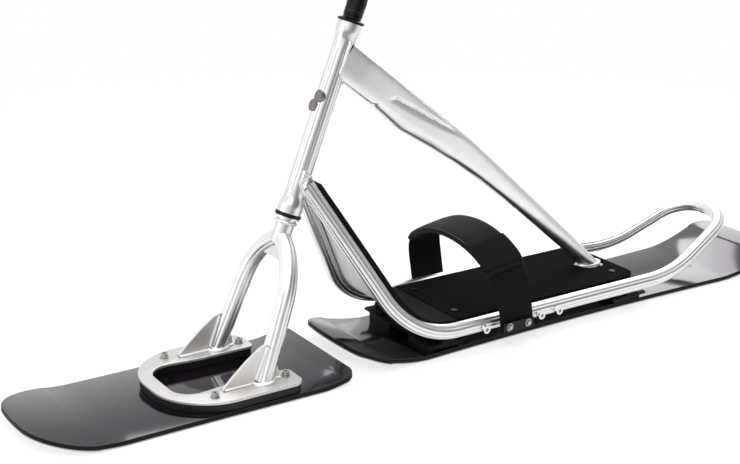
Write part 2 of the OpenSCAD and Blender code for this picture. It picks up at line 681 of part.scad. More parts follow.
module strap_inner() {
    translate([-strap_y, eyelet_z - 30]) square([2 * strap_y, strap_top - strap_r - eyelet_z + 30]);
    translate([-strap_y + strap_r, strap_top - strap_r]) square([2 * (strap_y - strap_r), strap_r]);
    for (s = [-1, 1]) translate([s * (strap_y - strap_r), strap_top - strap_r]) circle(strap_r);
}

module strap_sleeve() color("#0f0f10") leaning() translate([strap_w / 2 + 8, 0, 0]) rotate([90, 0, -90])
    linear_extrude(strap_w + 16) intersection() {
        difference() {
            strap_profile(9);
            strap_profile(fit);
        }
        translate([-100, strap_top - 60]) square([200, 100]);
    }

// Cockpit

headset_top = head_low + head_len + 19 + fit;
stem_low = headset_top + spacer_h;
stem_h = 40;
clamp_w = stem_low + stem_h / 2;
steerer_top = stem_low + stem_h - 3;

module spacers() color("#111113") on_axis(headset_top) difference() {
    union() for (i = [0:floor(spacer_h / 10) - 1]) translate([0, 0, i * spacer_h / floor(spacer_h / 10)])
        cylinder(d = 34 + (i % 2), h = spacer_h / floor(spacer_h / 10));
    translate([0, 0, -1]) cylinder(d = steerer_d, h = spacer_h + 2);
}

module stem() color("#1a1a1c") on_axis(stem_low) difference() {
    union() {
        cylinder(d = 40, h = stem_h);
        translate([0, -20, 0]) cube([stem_reach, 40, stem_h]);
        translate([stem_reach, 25, stem_h / 2]) rotate([90, 0, 0]) cylinder(d = stem_h, h = 50);
    }
    translate([0, 0, -1]) cylinder(d = steerer_d, h = stem_h + 2);
    translate([stem_reach, 60, stem_h / 2]) rotate([90, 0, 0]) cylinder(d = bar_d, h = 120);
}

module stem_cap() color("#1a1a1c") on_axis(stem_low + stem_h) {
    cylinder(d = 36, h = 4);
}

module bar_tube(a, b) {
    v = b - a;
    translate(a) rotate([0, acos(v[2] / norm(v)), atan2(v[1], v[0])]) cylinder(d = bar_d, h = norm(v));
}

low_y = 70;
high_y = bar_w / 2 - grip_len - 52;
bar_lean = atan2(bar_rise, high_y - low_y);
bar_bend_r = 58;
bar_bend_run = bar_bend_r * tan(bar_lean / 2);
crossbar_z = 0.72 * bar_rise;
crossbar_y = low_y + 0.72 * (high_y - low_y);

// Bar's centre line on the left as distance out and height, with each point's direction
function bar_turn(c, a0, a1, side, n = 6) = [for (i = [0:n]) let (a = a0 + (a1 - a0) * i / n)
    [c[0] + side * bar_bend_r * sin(a), c[1] - side * bar_bend_r * cos(a), a]];
bar_half = concat(bar_turn([low_y - bar_bend_run, bar_bend_r], 0, bar_lean, 1),
    bar_turn([high_y + bar_bend_run, bar_rise - bar_bend_r], bar_lean, 0, -1), [[bar_w / 2, bar_rise, 0]]);
bar_line = concat([for (i = [len(bar_half) - 1:-1:0]) [-bar_half[i][0], bar_half[i][1], -bar_half[i][2]]], bar_half);
bar_n = 20;

module handlebar() color("#1b1b1d") on_axis(clamp_w) translate([stem_reach, 0, 0]) polyhedron(
    points = [for (p = bar_line, i = [0:bar_n - 1]) let (a = 360 * i / bar_n, out = bar_d / 2 * sin(a))
        [bar_d / 2 * cos(a), p[0] - out * sin(p[2]), p[1] + out * cos(p[2])]],
    faces = concat([[for (i = [bar_n - 1:-1:0]) i]],
        [for (k = [0:len(bar_line) - 2], i = [0:bar_n - 1]) let (j = (i + 1) % bar_n)
            [k * bar_n + i, k * bar_n + j, (k + 1) * bar_n + j, (k + 1) * bar_n + i]],
        [[for (i = [0:bar_n - 1]) (len(bar_line) - 1) * bar_n + i]]));

module crossbar() color("#1b1b1d") on_axis(clamp_w) translate([stem_reach, 0, 0]) difference() {
    translate([0, crossbar_y, crossbar_z]) rotate([90, 0, 0]) cylinder(d = 16, h = 2 * crossbar_y);
    for (s = [-1, 1]) bar_tube([0, s * low_y, 0], [0, s * high_y, bar_rise]);
}

module grip() on_axis(clamp_w) translate([stem_reach, bar_w / 2 - grip_len, bar_rise]) rotate([-90, 0, 0])
    difference() {
        cylinder(d = grip_d, h = grip_len + 3);
        translate([0, 0, -1]) cylinder(d = bar_d, h = grip_len + 1);
    }

module grip_left() color("#0e0e0f") grip();
module grip_right() color("#0e0e0f") mirror([0, 1, 0]) grip();

front_board_core();
front_board_base();
front_board_edge();
rear_board_core();
rear_board_base();
rear_board_edge();
fork_pad();
fork_plate();
fork_plate_bolts();
fork_leg_left();
fork_leg_right();
fork_gussets_front();
fork_gussets_rear();
crown_web();
steerer();
crown_race();
head_tube();
headset_lower();
headset_upper();
head_badge();
rail_left();
rail_right();
top_tube();
deck_plate();
deck_pad();
kick_pad();
deck_screws();
riser_front();
riser_rear();
riser_pad_front();
riser_pad_rear();
riser_bolts();
eyelets_left();
eyelets_right();
anchor_left();
anchor_right();
strap_band();
strap_sleeve();
spacers();
stem();
stem_cap();
handlebar();
crossbar();
grip_left();
grip_right();
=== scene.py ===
"""Dresses the packed snowscoot: finer boards, tubes and straps, and their real finishes."""
import logging
import math
from dataclasses import dataclass, field, replace
from enum import Enum
from typing import Iterable, Sequence

import bmesh
import bpy
from mathutils import Matrix, Vector


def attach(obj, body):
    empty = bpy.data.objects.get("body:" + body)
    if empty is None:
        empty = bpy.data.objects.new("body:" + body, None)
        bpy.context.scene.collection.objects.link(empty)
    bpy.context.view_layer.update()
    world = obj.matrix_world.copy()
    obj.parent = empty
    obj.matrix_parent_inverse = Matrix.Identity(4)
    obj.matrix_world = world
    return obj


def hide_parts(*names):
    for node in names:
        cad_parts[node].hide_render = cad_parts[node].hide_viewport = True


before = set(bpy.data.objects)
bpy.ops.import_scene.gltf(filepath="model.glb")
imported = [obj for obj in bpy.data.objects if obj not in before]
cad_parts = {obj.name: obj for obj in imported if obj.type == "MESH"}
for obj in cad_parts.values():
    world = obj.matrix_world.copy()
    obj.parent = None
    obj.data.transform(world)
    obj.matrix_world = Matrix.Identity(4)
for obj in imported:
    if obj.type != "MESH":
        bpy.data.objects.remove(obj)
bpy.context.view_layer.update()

LOG = logging.getLogger("snowscoot")
MM = 0.001
RAKE = math.radians(21.4)
AXIS_X = 0.434


# Small helpers for places, colours and nodes

def mm(*values: float) -> Vector:
    """A point given in millimetres, in metres."""
    return Vector(values) * MM


def linear(hex_code: str) -> tuple[float, float, float, float]:
    """Turns an sRGB hex colour into linear light.

    Args:
        hex_code: Six hex digits, with or without a hash.

    Returns:
        Red, green, blue and alpha.
    """
    digits = hex_code.lstrip("#")
    parts = [int(digits[i:i + 2], 16) / 255 for i in (0, 2, 4)]
    light = [p / 12.92 if p <= 0.04045 else ((p + 0.055) / 1.055) ** 2.4 for p in parts]
    return light[0], light[1], light[2], 1.0


def add_node(tree: bpy.types.NodeTree, kind: str, links: dict | None = None, **settings: object) -> bpy.types.Node:
    """Adds a node with its settings and links.

    Args:
        tree: The node tree.
        kind: The node's type name, without the ShaderNode that it starts with.
        links: Socket name or index to a value or to another node's output.
        settings: The node's own properties.

    Returns:
        The new node.
    """
    node = tree.nodes.new(f"ShaderNode{kind}")
    for name, value in settings.items():
        setattr(node, name, value)
    for name, value in (links or {}).items():
        socket = node.inputs[name]
        if isinstance(value, bpy.types.NodeSocket):
            tree.links.new(value, socket)
        else:
            socket.default_value = value
    return node


def operate(tree: bpy.types.NodeTree, operation: str, *values: object) -> bpy.types.NodeSocket:
    """Adds a math node on values or other nodes' outputs, and gives its output."""
    return add_node(tree, "Math", dict(enumerate(values)), operation=operation).outputs[0]


def blank_tree(owner: bpy.types.Material | bpy.types.World) -> bpy.types.NodeTree:
    """Turns a material's or world's nodes on, and gives its emptied tree."""
    owner.use_nodes = True
    owner.node_tree.nodes.clear()
    return owner.node_tree


def seen_rays(tree: bpy.types.NodeTree) -> bpy.types.NodeSocket:
    """Adds a switch that is 1 for what the camera, metal and glass show, and 0 for plain light."""
    path = add_node(tree, "LightPath")
    seen = path.outputs["Is Camera Ray"]
    for kind in ("Is Glossy Ray", "Is Transmission Ray"):
        seen = operate(tree, "MAXIMUM", seen, path.outputs[kind])
    return seen


def on_axis(along: float) -> Matrix:
    """The steering axis as a frame: local Z runs up it and local X points forward.

    Args:
        along: Distance up the axis from the snow, in millimetres.

    Returns:
        The frame's matrix, in metres.
    """
    place = Vector((AXIS_X - along * MM * math.sin(RAKE), 0, along * MM * math.cos(RAKE)))
    return Matrix.Translation(place) @ Matrix.Rotation(-RAKE, 4, "Y")


def ahead_of(place: Matrix) -> Vector:
    """The direction of a frame's local Z."""
    return place.to_3x3() @ Vector((0, 0, 1))


# Finishes

class Pattern(Enum):
    """How a surface was made, which gives its grain."""

    DRAWN = "drawn tube with fine lengthwise lines"
    MILLED = "rolled plate, lightly sanded"
    SANDED = "blasted or moulded grit"
    FIBRE = "needled fibre"
    WOVEN = "woven webbing"


@dataclass(frozen=True)
class Finish:
    """One real surface: its colour, shine and grain.

    The grain is given in millimetres, and reads Object coordinates or, on tubes and straps,
    the piece's own unbent position.
    """

    name: str
    colour: str
    worn: str
    metallic: float = 0.0
    roughness: float = 0.5
    spread: float = 0.06
    specular: float = 0.5
    coat: float = 0.0
    sheen: float = 0.0
    tint: str = "#ffffff"
    pattern: Pattern = Pattern.SANDED
    grain: float = 1.0
    relief: float = 0.02
    unbent: bool = False

    def material(self) -> bpy.types.Material:
        """Builds the material, or gives the one built before."""
        known = bpy.data.materials.get(self.name)
        if known:
            return known
        made = bpy.data.materials.new(self.name)
        tree = blank_tree(made)
        if self.unbent:
            place = add_node(tree, "Attribute", attribute_name="unbent").outputs["Vector"]
        else:
            place = add_node(tree, "TexCoord").outputs["Object"]
        height = self.grain_height(tree, place)
        patch = add_node(tree, "TexNoise", {"Vector": place, "Scale": 14.0, "Detail": 3.0}).outputs["Fac"]
        tint = add_node(tree, "Mix", {"Factor": operate(tree, "MULTIPLY", height, patch), 6: linear(self.colour),
                                      7: linear(self.worn)}, data_type="RGBA")
        rough = add_node(tree, "MapRange", {"Value": patch, "From Min": 0.3, "From Max": 0.7,
                                            "To Min": self.roughness - self.spread / 2,
                                            "To Max": self.roughness + self.spread / 2})
        bump = add_node(tree, "Bump", {"Height": height, "Strength": 1.0, "Distance": self.relief * MM})
        shader = add_node(tree, "BsdfPrincipled", {
            "Base Color": tint.outputs[2], "Metallic": self.metallic, "Roughness": rough.outputs[0],
            "Specular IOR Level": self.specular, "Specular Tint": linear(self.tint), "Coat Weight": self.coat,
            "Coat Roughness": 0.04, "Sheen Weight": self.sheen, "Sheen Roughness": 0.4,
            "Normal": bump.outputs[0]})
        add_node(tree, "OutputMaterial", {"Surface": shader.outputs[0]})
        return made

    def grain_height(self, tree: bpy.types.NodeTree, place: bpy.types.NodeSocket) -> bpy.types.NodeSocket:
        """Adds the grain's nodes.

        Args:
            tree: The material's node tree.
            place: Position on the piece, in metres.

        Returns:
            Socket of the grain's height, which is also its share of the worn colour.
        """
        fine = 1 / (self.grain * MM)
        if self.pattern is Pattern.WOVEN:
            split = add_node(tree, "SeparateXYZ", {0: place})
            waves = [operate(tree, "SINE", operate(tree, "MULTIPLY", split.outputs[axis], fine * math.pi))
                     for axis in (0, 2)]
            return operate(tree, "ABSOLUTE", operate(tree, "MULTIPLY", *waves))
        stretch = {Pattern.DRAWN: (1, 1, 0.02), Pattern.MILLED: (0.06, 1, 1), Pattern.FIBRE: (0.3, 1, 1)}
        scaled = add_node(tree, "Mapping", {"Vector": place, "Scale": stretch.get(self.pattern, (1, 1, 1))})
        grain = add_node(tree, "TexNoise", {"Vector": scaled.outputs[0], "Scale": fine / 2, "Detail": 4.0,
                                            "Roughness": 0.6})
        return grain.outputs["Fac"]


# 6061 tube, drawn, ball-burnished and clear anodised: a soft, even shine with faint lines along the tube
TUBE = Finish("Burnished_anodised_tube", "#f1f1f1", "#dcdddd", 1.0, 0.34, 0.06, pattern=Pattern.DRAWN, grain=1.2,
              relief=0.03, unbent=True)
# The same alloy as turned or formed parts, with a grain that has no direction
TURNED = Finish("Burnished_anodised_alloy", "#e9e8e8", "#d2d1d1", 1.0, 0.26, 0.06, grain=1.5)
# Waterjet-cut 6061 plate, sanded and left satin
PLATE = Finish("Sanded_aluminium_plate", "#e8e6e3", "#d3d1ce", 0.85, 0.5, 0.1, pattern=Pattern.MILLED,
               relief=0.05)
# The same plate lying flat under the lamps, so its colour is darker to show alike
HORSESHOE = replace(PLATE, name="Sanded_horseshoe_plate", colour="#d2d0ce", worn="#bebcba")
# TIG weld metal, a little brighter than the plate
WELD = Finish("Weld_metal", "#f3f2f1", "#d2d1d0", 0.9, 0.4, 0.12, relief=0.05)
# Zinc-plated steel screws
SCREW = Finish("Zinc_plated_steel", "#b9bab8", "#8f8f8b", 1.0, 0.3, 0.1, grain=0.6)
# Bead-blasted aluminium sheet of the deck, pale and matt
SHEET = Finish("Blasted_aluminium_sheet", "#f6f5f3", "#e9e7e5", 0.15, 0.55, 0.1, grain=1.2, relief=0.05)
# Dull cast badge
BADGE = Finish("Cast_pewter", "#8f888b", "#5c5759", 0.9, 0.35, 0.12, relief=0.06)
# Black-oxide screws of the deck and the risers
BLACK_SCREW = Finish("Black_oxide_steel", "#1d1b1b", "#2b2828", 0.8, 0.4, 0.1, grain=0.6)
# Glass-filled nylon of the risers, dull black
NYLON = Finish("Moulded_black_nylon", "#050505", "#0c0b0c", 0.0, 0.6, 0.1, specular=0.15, grain=1.4, relief=0.04)
# ABS top sheet of a board: hard, glossy and almost black, with a slight purple cast
TOPSHEET = Finish("Gloss_ABS_topsheet", "#100b13", "#17111a", 0.0, 0.1, 0.03, specular=0.95, tint="#f4edf6",
                  grain=6.0)
# Phenolic sidewall under it
SIDEWALL = Finish("Black_phenolic_sidewall", "#050505", "#0d0c0d", 0.0, 0.5, 0.1, specular=0.2, grain=1.5)
# Extruded polyethylene base, milky white
BASE = Finish("White_polyethylene_base", "#e6e7e6", "#d4d5d4", 0.0, 0.4, 0.1, grain=2.0)
# Ground carbon steel edge
EDGE = Finish("Ground_steel_edge", "#c3c5c7", "#999b9d", 1.0, 0.25, 0.1, pattern=Pattern.MILLED, grain=0.6)
# Moulded EPDM rubber spacer, matt black
RUBBER = Finish("Moulded_EPDM_rubber", "#0b0b0c", "#151516", 0.0, 0.55, 0.12, specular=0.35, grain=1.6, relief=0.06)
# Needle-felt grip pad glued on the deck: fibres that catch little light
FELT = Finish("Needled_felt_pad", "#080607", "#1b1616", 0.0, 0.95, 0.06, specular=0.06, pattern=Pattern.FIBRE,
              grain=1.6, relief=0.5)
# EVA foam on the turned-up kick, closed cells with a brownish cast
FOAM = Finish("Closed_cell_EVA", "#0e0b0a", "#1b1614", 0.0, 0.8, 0.1, specular=0.1, grain=1.4, relief=0.12)
# Nylon webbing, a plain weave drawn at 2 mm so that it shows
WEBBING = Finish("Woven_nylon_webbing", "#060606", "#151416", 0.0, 0.8, 0.1, specular=0.12, sheen=0.02,
                 pattern=Pattern.WOVEN, grain=2.0, relief=0.3, unbent=True)
# Polyester sewing thread, a lockstitch of 3 mm
THREAD = Finish("Polyester_thread", "#3a3638", "#1a1819", 0.0, 0.6, 0.1, specular=0.3, pattern=Pattern.WOVEN,
                grain=3.0, relief=0.3, unbent=True)
# Padded sleeve of nylon oxford cloth over foam
OXFORD = Finish("Nylon_oxford_cloth", "#070607", "#161416", 0.0, 0.75, 0.1, specular=0.18, sheen=0.05,
                pattern=Pattern.WOVEN, grain=1.4, relief=0.15, unbent=True)
# Black hard-anodised headset, spacers, stem and strap anchors
BLACK_ALLOY = Finish("Black_anodised_alloy", "#0d0d0f", "#17171a", 0.6, 0.32, 0.08)
# Painted steel bar
PAINT = Finish("Black_powder_coat", "#101012", "#18181a", 0.0, 0.35, 0.08, coat=0.2, grain=1.2, relief=0.04)
# Soft moulded grip
GRIP = Finish("Moulded_grip_rubber", "#0c0c0d", "#161617", 0.0, 0.7, 0.1, specular=0.3, grain=0.8, relief=0.08)


# Mesh helpers

def finished(name: str, bm: bmesh.types.BMesh, finish: Finish, body: str, smooth: float = 35.0,
             recalc: bool = True) -> bpy.types.Object:
    """Turns a bmesh into a piece that rides on its body.

    Args:
        name: The piece's name.
        bm: Its mesh, which is freed here.
        finish: Its finish.
        body: The CAD body it moves with.
        smooth: Angle in degrees under which faces shade as one surface.
        recalc: Whether its normals are turned outwards.

    Returns:
        The piece.
    """
    if recalc:
        bmesh.ops.remove_doubles(bm, verts=bm.verts, dist=1e-6)
        bmesh.ops.recalc_face_normals(bm, faces=bm.faces)
    mesh = bpy.data.meshes.new(name)
    bm.to_mesh(mesh)
    bm.free()
    mesh.materials.append(finish.material())
    mesh.shade_smooth()
    mesh.set_sharp_from_angle(angle=math.radians(smooth))
    piece = bpy.data.objects.new(name, mesh)
    bpy.context.scene.collection.objects.link(piece)
    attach(piece, body)
    LOG.info("%s: %d faces on %s", name, len(mesh.polygons), body)
    return piece


def weld(name: str, bm: bmesh.types.BMesh, body: str) -> None:
    """Turns a bead's mesh into a piece of weld metal."""
    finished(name, bm, WELD, body, 60)


def dress(finish: Finish, *nodes: str) -> None:
    """Gives CAD nodes that stay their finish."""
    for node in nodes:
        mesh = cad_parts[node].data
        mesh.materials.clear()
        mesh.materials.append(finish.material())


def rounded_rim(piece: bpy.types.Object, width: float, segments: int) -> None:
    """Bevels a piece's sharp edges by a width in metres."""
    bevel = piece.modifiers.new("rounded_rim", "BEVEL")
    bevel.width = width
    bevel.segments = segments
    bevel.limit_method = "ANGLE"
    bevel.angle_limit = math.radians(50)


def cut_away(bm: bmesh.types.BMesh, point: Sequence[float], normal: Sequence[float]) -> list[bmesh.types.BMEdge]:
    """Cuts off what lies beyond a plane, and gives the edges along the cut."""
    geom = bm.verts[:] + bm.edges[:] + bm.faces[:]
    cut = bmesh.ops.bisect_plane(bm, geom=geom, plane_co=point, plane_no=normal, clear_outer=True)
    return [e for e in cut["geom_cut"] if isinstance(e, bmesh.types.BMEdge)]


def lathe(bm: bmesh.types.BMesh, profile: Sequence[tuple[float, float]], place: Matrix, steps: int = 64) -> None:
    """Spins a profile round local Z and puts it in place.

    Args:
        bm: The mesh to add to.
        profile: Radius and height of each point, in millimetres.
        place: Matrix to the row frame.
        steps: Steps round.
    """
    verts = [bm.verts.new((r * MM, 0, z * MM)) for r, z in profile]
    edges = [bm.edges.new(pair) for pair in zip(verts, verts[1:])]
    bmesh.ops.spin(bm, geom=verts + edges, cent=(0, 0, 0), axis=(0, 0, 1), angle=2 * math.pi, steps=steps,
                   use_merge=True)
    island = reach(verts)
    bmesh.ops.remove_doubles(bm, verts=island, dist=1e-6)
    bmesh.ops.transform(bm, matrix=place, verts=reach([v for v in island if v.is_valid]))


def arc(x: float, y: float, radius: float, start: float, end: float, steps: int) -> list[tuple[float, float]]:
    """Points along an arc, between two angles in degrees."""
    angles = [math.radians(start + (end - start) * i / steps) for i in range(steps + 1)]
    return [(x + radius * math.cos(a), y + radius * math.sin(a)) for a in angles]


def reach(verts: Iterable[bmesh.types.BMVert]) -> list[bmesh.types.BMVert]:
    """All vertices joined to the given ones by edges."""
    seen = {v for v in verts if v.is_valid}
    edge_of = list(seen)
    while edge_of:
        for edge in edge_of.pop().link_edges:
            for v in edge.verts:
                if v not in seen:
                    seen.add(v)
                    edge_of.append(v)
    return list(seen)


def plate(bm: bmesh.types.BMesh, outline: Sequence[tuple[float, float]], low: float, high: float,
          edge: float = 0.0, segments: int = 2) -> list[bmesh.types.BMVert]:
    """A flat plate with rounded rims.

    Args:
        bm: The mesh to add to.
        outline: Its corners in plan, in millimetres.
        low: Lower face, in millimetres.
        high: Upper face, in millimetres.
        edge: Radius of the rims, in millimetres.
        segments: Segments of each rim.

    Returns:
        The plate's vertices.
    """
    verts = [bm.verts.new((x * MM, y * MM, low * MM)) for x, y in outline]
    face = bm.faces.new(verts)
    up = bmesh.ops.extrude_face_region(bm, geom=[face])["geom"]
    top = [v for v in up if isinstance(v, bmesh.types.BMVert)]
    bmesh.ops.translate(bm, verts=top, vec=(0, 0, (high - low) * MM))
    if not face.is_valid:
        bm.faces.new(list(reversed(verts)))
    if edge:
        rims = [e for e in reach_edges(verts) if abs(e.verts[0].co.z - e.verts[1].co.z) < 1e-7]
        bmesh.ops.bevel(bm, geom=rims, offset=edge * MM, offset_type="OFFSET", affect="EDGES", segments=segments,
                        profile=0.5, material=-1, clamp_overlap=True)
    return reach([v for v in verts if v.is_valid] or [v for v in top if v.is_valid])


def reach_edges(verts: Iterable[bmesh.types.BMVert]) -> list[bmesh.types.BMEdge]:
    """All edges of the pieces that the vertices belong to."""
    return list({e for v in reach(verts) for e in v.link_edges})


class Sweep:
    """A tube drawn along its path by extruding and spinning the ring at its end."""

    def __init__(self, section: Sequence[tuple[float, float]], start: Matrix) -> None:
        """Puts the first ring in place.

        Args:
            section: The ring's points along local X and Y, in millimetres.
            start: Frame whose Z runs along the tube.
        """
        self.bm = bmesh.new()
        self.layer = self.bm.verts.layers.float_vector.new("unbent")
        made = bmesh.ops.create_circle(self.bm, segments=len(section), radius=1.0)
        self.ring = made["verts"]
        for v, (x, y) in zip(self.ring, section):
            v.co = (x * MM, y * MM, 0)
            v[self.layer] = v.co.copy()
        bmesh.ops.transform(self.bm, matrix=start, verts=self.ring)
        self.frame = start.copy()
        self.along = 0.0
        self.track = [start.translation.copy()]
        self.first = self.loop()

    def loop(self) -> list[bmesh.types.BMEdge]:
        """The edges of the ring at the end."""
        here = set(self.ring)
        return [e for e in {e for v in here for e in v.link_edges} if set(e.verts) <= here]

    def step(self, move: Matrix, length: float) -> None:
        """Extrudes the ring and moves its copy.

        Args:
            move: The motion, in the row frame.
            length: How much longer the tube gets, in metres.
        """
        grown = bmesh.ops.extrude_edge_only(self.bm, edges=self.loop())["geom"]
        self.ring = [g for g in grown if isinstance(g, bmesh.types.BMVert)]
        bmesh.ops.transform(self.bm, matrix=move, verts=self.ring)
        self.along += length
        for v in self.ring:
            v[self.layer] = Vector((v[self.layer].x, v[self.layer].y, self.along))
        self.frame = move @ self.frame
        self.track.append(self.frame.translation.copy())

    def run(self, length: float, steps: int = 1) -> "Sweep":
        """Adds a straight run of the given length in millimetres."""
        ahead = self.frame.to_3x3() @ Vector((0, 0, length * MM / steps))
        for _ in range(steps):
            self.step(Matrix.Translation(ahead), length * MM / steps)
        return self

    def bend(self, toward: Vector, radius: float, angle: float, steps: int = 12) -> "Sweep":
        """Adds a bend.

        Args:
            toward: Direction from the tube to the bend's centre, in the row frame.
            radius: Radius of its centre line, in millimetres.
            angle: Angle in degrees.
            steps: Steps along it.

        Returns:
            The sweep itself.
        """
        side = toward.normalized()
        centre = self.frame.translation + side * radius * MM
        axis = ahead_of(self.frame).cross(side)
        turn = math.radians(angle) / steps
        move = Matrix.Translation(centre) @ Matrix.Rotation(turn, 4, axis) @ Matrix.Translation(-centre)
        for _ in range(steps):
            self.step(move, radius * MM * turn)
        return self

    def close(self) -> bmesh.types.BMesh:
        """Fills both ends and gives the mesh."""
        ends = self.loop() + [e for e in self.first if e.is_valid]
        bmesh.ops.edgeloop_fill(self.bm, edges=ends)
        return self.bm


def bead(path: Sequence[Vector], radius: float, closed: bool = False, pitch: float = 3.2) -> bmesh.types.BMesh:
    """A weld bead with ripples, along a path.

    Args:
        path: Its points in the row frame.
        radius: Half its width, in millimetres.
        closed: Whether the path is a loop.
        pitch: Distance between ripples, in millimetres.

    Returns:
        Its mesh.
    """
    points = list(path) + ([path[0], path[1]] if closed else [])
    dense: list[Vector] = []
    for a, b in zip(points, points[1:]):
        count = max(1, round((b - a).length / (pitch * MM / 3)))
        dense += [a.lerp(b, i / count) for i in range(count)]
    dense.append(points[-1])
    bm = bmesh.new()
    ring: list[bmesh.types.BMVert] = bmesh.ops.create_circle(bm, segments=8, radius=radius * MM)["verts"]
    shape = [v.co.copy() for v in ring]
    gone = 0.0
    for i, here in enumerate(dense):
        ahead = dense[min(i + 1, len(dense) - 1)] - dense[max(i - 1, 0)]
        turn = ahead.to_track_quat("Z", "Y").to_matrix().to_4x4()
        if i:
            gone += (here - dense[i - 1]).length
            loop = list({e for v in ring for e in v.link_edges if e.other_vert(v) in set(ring)})
            grown = bmesh.ops.extrude_edge_only(bm, edges=loop)["geom"]
            order = {e: None for e in grown if isinstance(e, bmesh.types.BMVert)}
            copies = []
            for v in ring:
                copies += [e.other_vert(v) for e in v.link_edges if e.other_vert(v) in order]
            ring = copies
        swell = 1 + 0.16 * abs(math.sin(math.pi * gone / (pitch * MM)))
        for v, s in zip(ring, shape):
            v.co = here + turn.to_3x3() @ (s * swell)
    return bm


def saddle(points: Iterable[Vector], away: Vector, radius: float) -> list[Vector]:
    """Where lines leave a cylinder round the steering axis, or pass closest to it.

    Args:
        points: A point on each line, in the row frame.
        away: Direction of the lines, away from the axis.
        radius: The cylinder's radius, in millimetres.

    Returns:
        The points, in the row frame.
    """
    inverse = on_axis(0).inverted()
    turned = inverse.to_3x3() @ away
    a = turned.x ** 2 + turned.y ** 2
    path = []
    for point in points:
        start = inverse @ point
        b = start.x * turned.x + start.y * turned.y
        root = b * b - a * (start.x ** 2 + start.y ** 2 - (radius * MM) ** 2)
        path.append(on_axis(0) @ (start + turned * (math.sqrt(max(root, 0.0)) - b) / a))
    return path


# Boards

@dataclass
class Board:
    """A board pressed from a core, a base and a steel edge, with turned-up ends (millimetres)."""

    name: str
    body: str
    tail: float
    tip: float
    width: float
    waist: float
    tail_rise: float
    tail_len: float
    nose_rise: float
    nose_len: float
    tail_r: float
    nose_r: float
    bow: float
    thick: float = 10.0
    skin: float = 1.4
    base: float = 2.2
    edge_wide: float = 2.4
    edge_high: float = 2.0

    def rise(self, x: float) -> float:
        """Height of the board's underside at x."""
        back = self.tail + self.tail_len - x
        ahead = x - (self.tip - self.nose_len)
        if back > 0:
            return self.tail_rise * (back / self.tail_len) ** 1.7
        return self.nose_rise * (ahead / self.nose_len) ** 1.7 if ahead > 0 else 0.0

    def side(self, x: float) -> float:
        """Half of the width at x."""
        t = (2 * x - self.tail - self.tip) / (self.tip - self.tail)
        return self.waist / 2 + (self.width - self.waist) / 2 * t * t

    def outline(self, inset: float = 0.0, steps: int = 18) -> list[tuple[float, float]]:
        """The board's plan, anticlockwise from the tail.

        Args:
            inset: How far the outline is drawn in.
            steps: Points along each part.

        Returns:
            Its points, in millimetres.
        """
        half: list[tuple[float, float]] = []
        y_nose, y_tail = self.width / 2 - self.nose_r, self.width / 2 - self.tail_r
        for i in range(steps):
            a = math.pi * (1 - 0.5 * i / steps)
            half.append((self.tail + self.tail_r * (1 + math.cos(a)) + inset,
                         y_tail + self.tail_r * math.sin(a) - inset * math.sin(a)))
        length = self.tip - self.tail - self.tail_r - self.nose_r - self.bow
        for i in range(2 * steps + 1):
            x = self.tail + self.tail_r + length * i / (2 * steps)
            half.append((x, self.side(x) - inset))
        for i in range(1, steps + 1):
            a = math.pi / 2 * (1 - i / steps)
            y = y_nose + self.nose_r * math.sin(a)
            half.append((self.tip - self.nose_r + self.nose_r * math.cos(a)
                         - self.bow * (y / (self.width / 2)) ** 2 - inset, y - inset * math.sin(a)))
        front = [(self.tip - self.bow * (y / (self.width / 2)) ** 2 - inset, y)
                 for y in (y_nose * (1 - 2 * i / steps) for i in range(1, steps))]
        whole = half + front + [(x, -y) for x, y in reversed(half)]
        return list(reversed(whole))

    def slab(self, low: float, high: float, inset: float, edge: float) -> bmesh.types.BMesh:
        """One layer of the board, cut across and lifted to its profile.

        Args:
            low: Lower face above the board's underside.
            high: Upper face above it.
            inset: How far its outline is drawn in.
            edge: Radius of its rims.

        Returns:
            Its mesh.
        """
        bm = bmesh.new()
        plate(bm, self.outline(inset), low, high, edge)
        count = 44
        for kick, start, sign in ((self.tail_len, self.tail, 1), (self.nose_len, self.tip, -1)):
            cuts = [kick + lead for lead in (40, 20, 10, 5, 2)] + [kick * (1 - i / count) for i in range(count)]
            for cut in cuts:
                x = start + sign * cut
                bmesh.ops.bisect_plane(bm, geom=bm.verts[:] + bm.edges[:] + bm.faces[:], dist=1e-7,
                                       plane_co=mm(x, 0, 0), plane_no=(1, 0, 0))
        self.lift(bm)
        return bm

    def lift(self, bm: bmesh.types.BMesh) -> None:
        """Lifts a flat mesh to the board's profile."""
        for v in bm.verts:
            v.co.z += self.rise(v.co.x / MM) * MM

    def build(self) -> None:
        """Builds the top sheet, sidewall, base and edge, and hides the CAD layers."""
        seam = self.thick - self.skin
        top = finished(f"{self.name}_topsheet", self.slab(seam, self.thick, 1.2, 0.5), TOPSHEET, self.body)
        finished(f"{self.name}_sidewall", self.slab(self.base, seam, 0.5, 0.4), SIDEWALL, self.body)
        base = finished(f"{self.name}_running_base", self.slab(0.0, self.base, 0.9, 0.2), BASE, self.body)
        core, low, rim = (f"{self.name}_{layer}" for layer in ("core", "base", "edge"))
        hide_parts(core)
        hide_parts(low)
        self.steel_edge(rim)

    def steel_edge(self, node: str) -> None:
        """Builds the steel edge round the base."""
        bm = bmesh.new()
        outer, inner, high = self.outline(0.0), self.outline(self.edge_wide), self.edge_high
        rings = [[bm.verts.new((x * MM, y * MM, z * MM)) for x, y in pts]
                 for pts, z in ((outer, 0.0), (outer, high), (inner, high), (inner, 0.0))]
        loops = [[bm.edges.new((r[i], r[(i + 1) % len(r)])) for i in range(len(r))] for r in rings]
        for a, b in zip(loops, loops[1:] + loops[:1]):
            bmesh.ops.bridge_loops(bm, edges=a + b)
        self.lift(bm)
        edge = finished(f"{self.name}_steel_edge", bm, EDGE, self.body)
        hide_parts(node)


# Fork

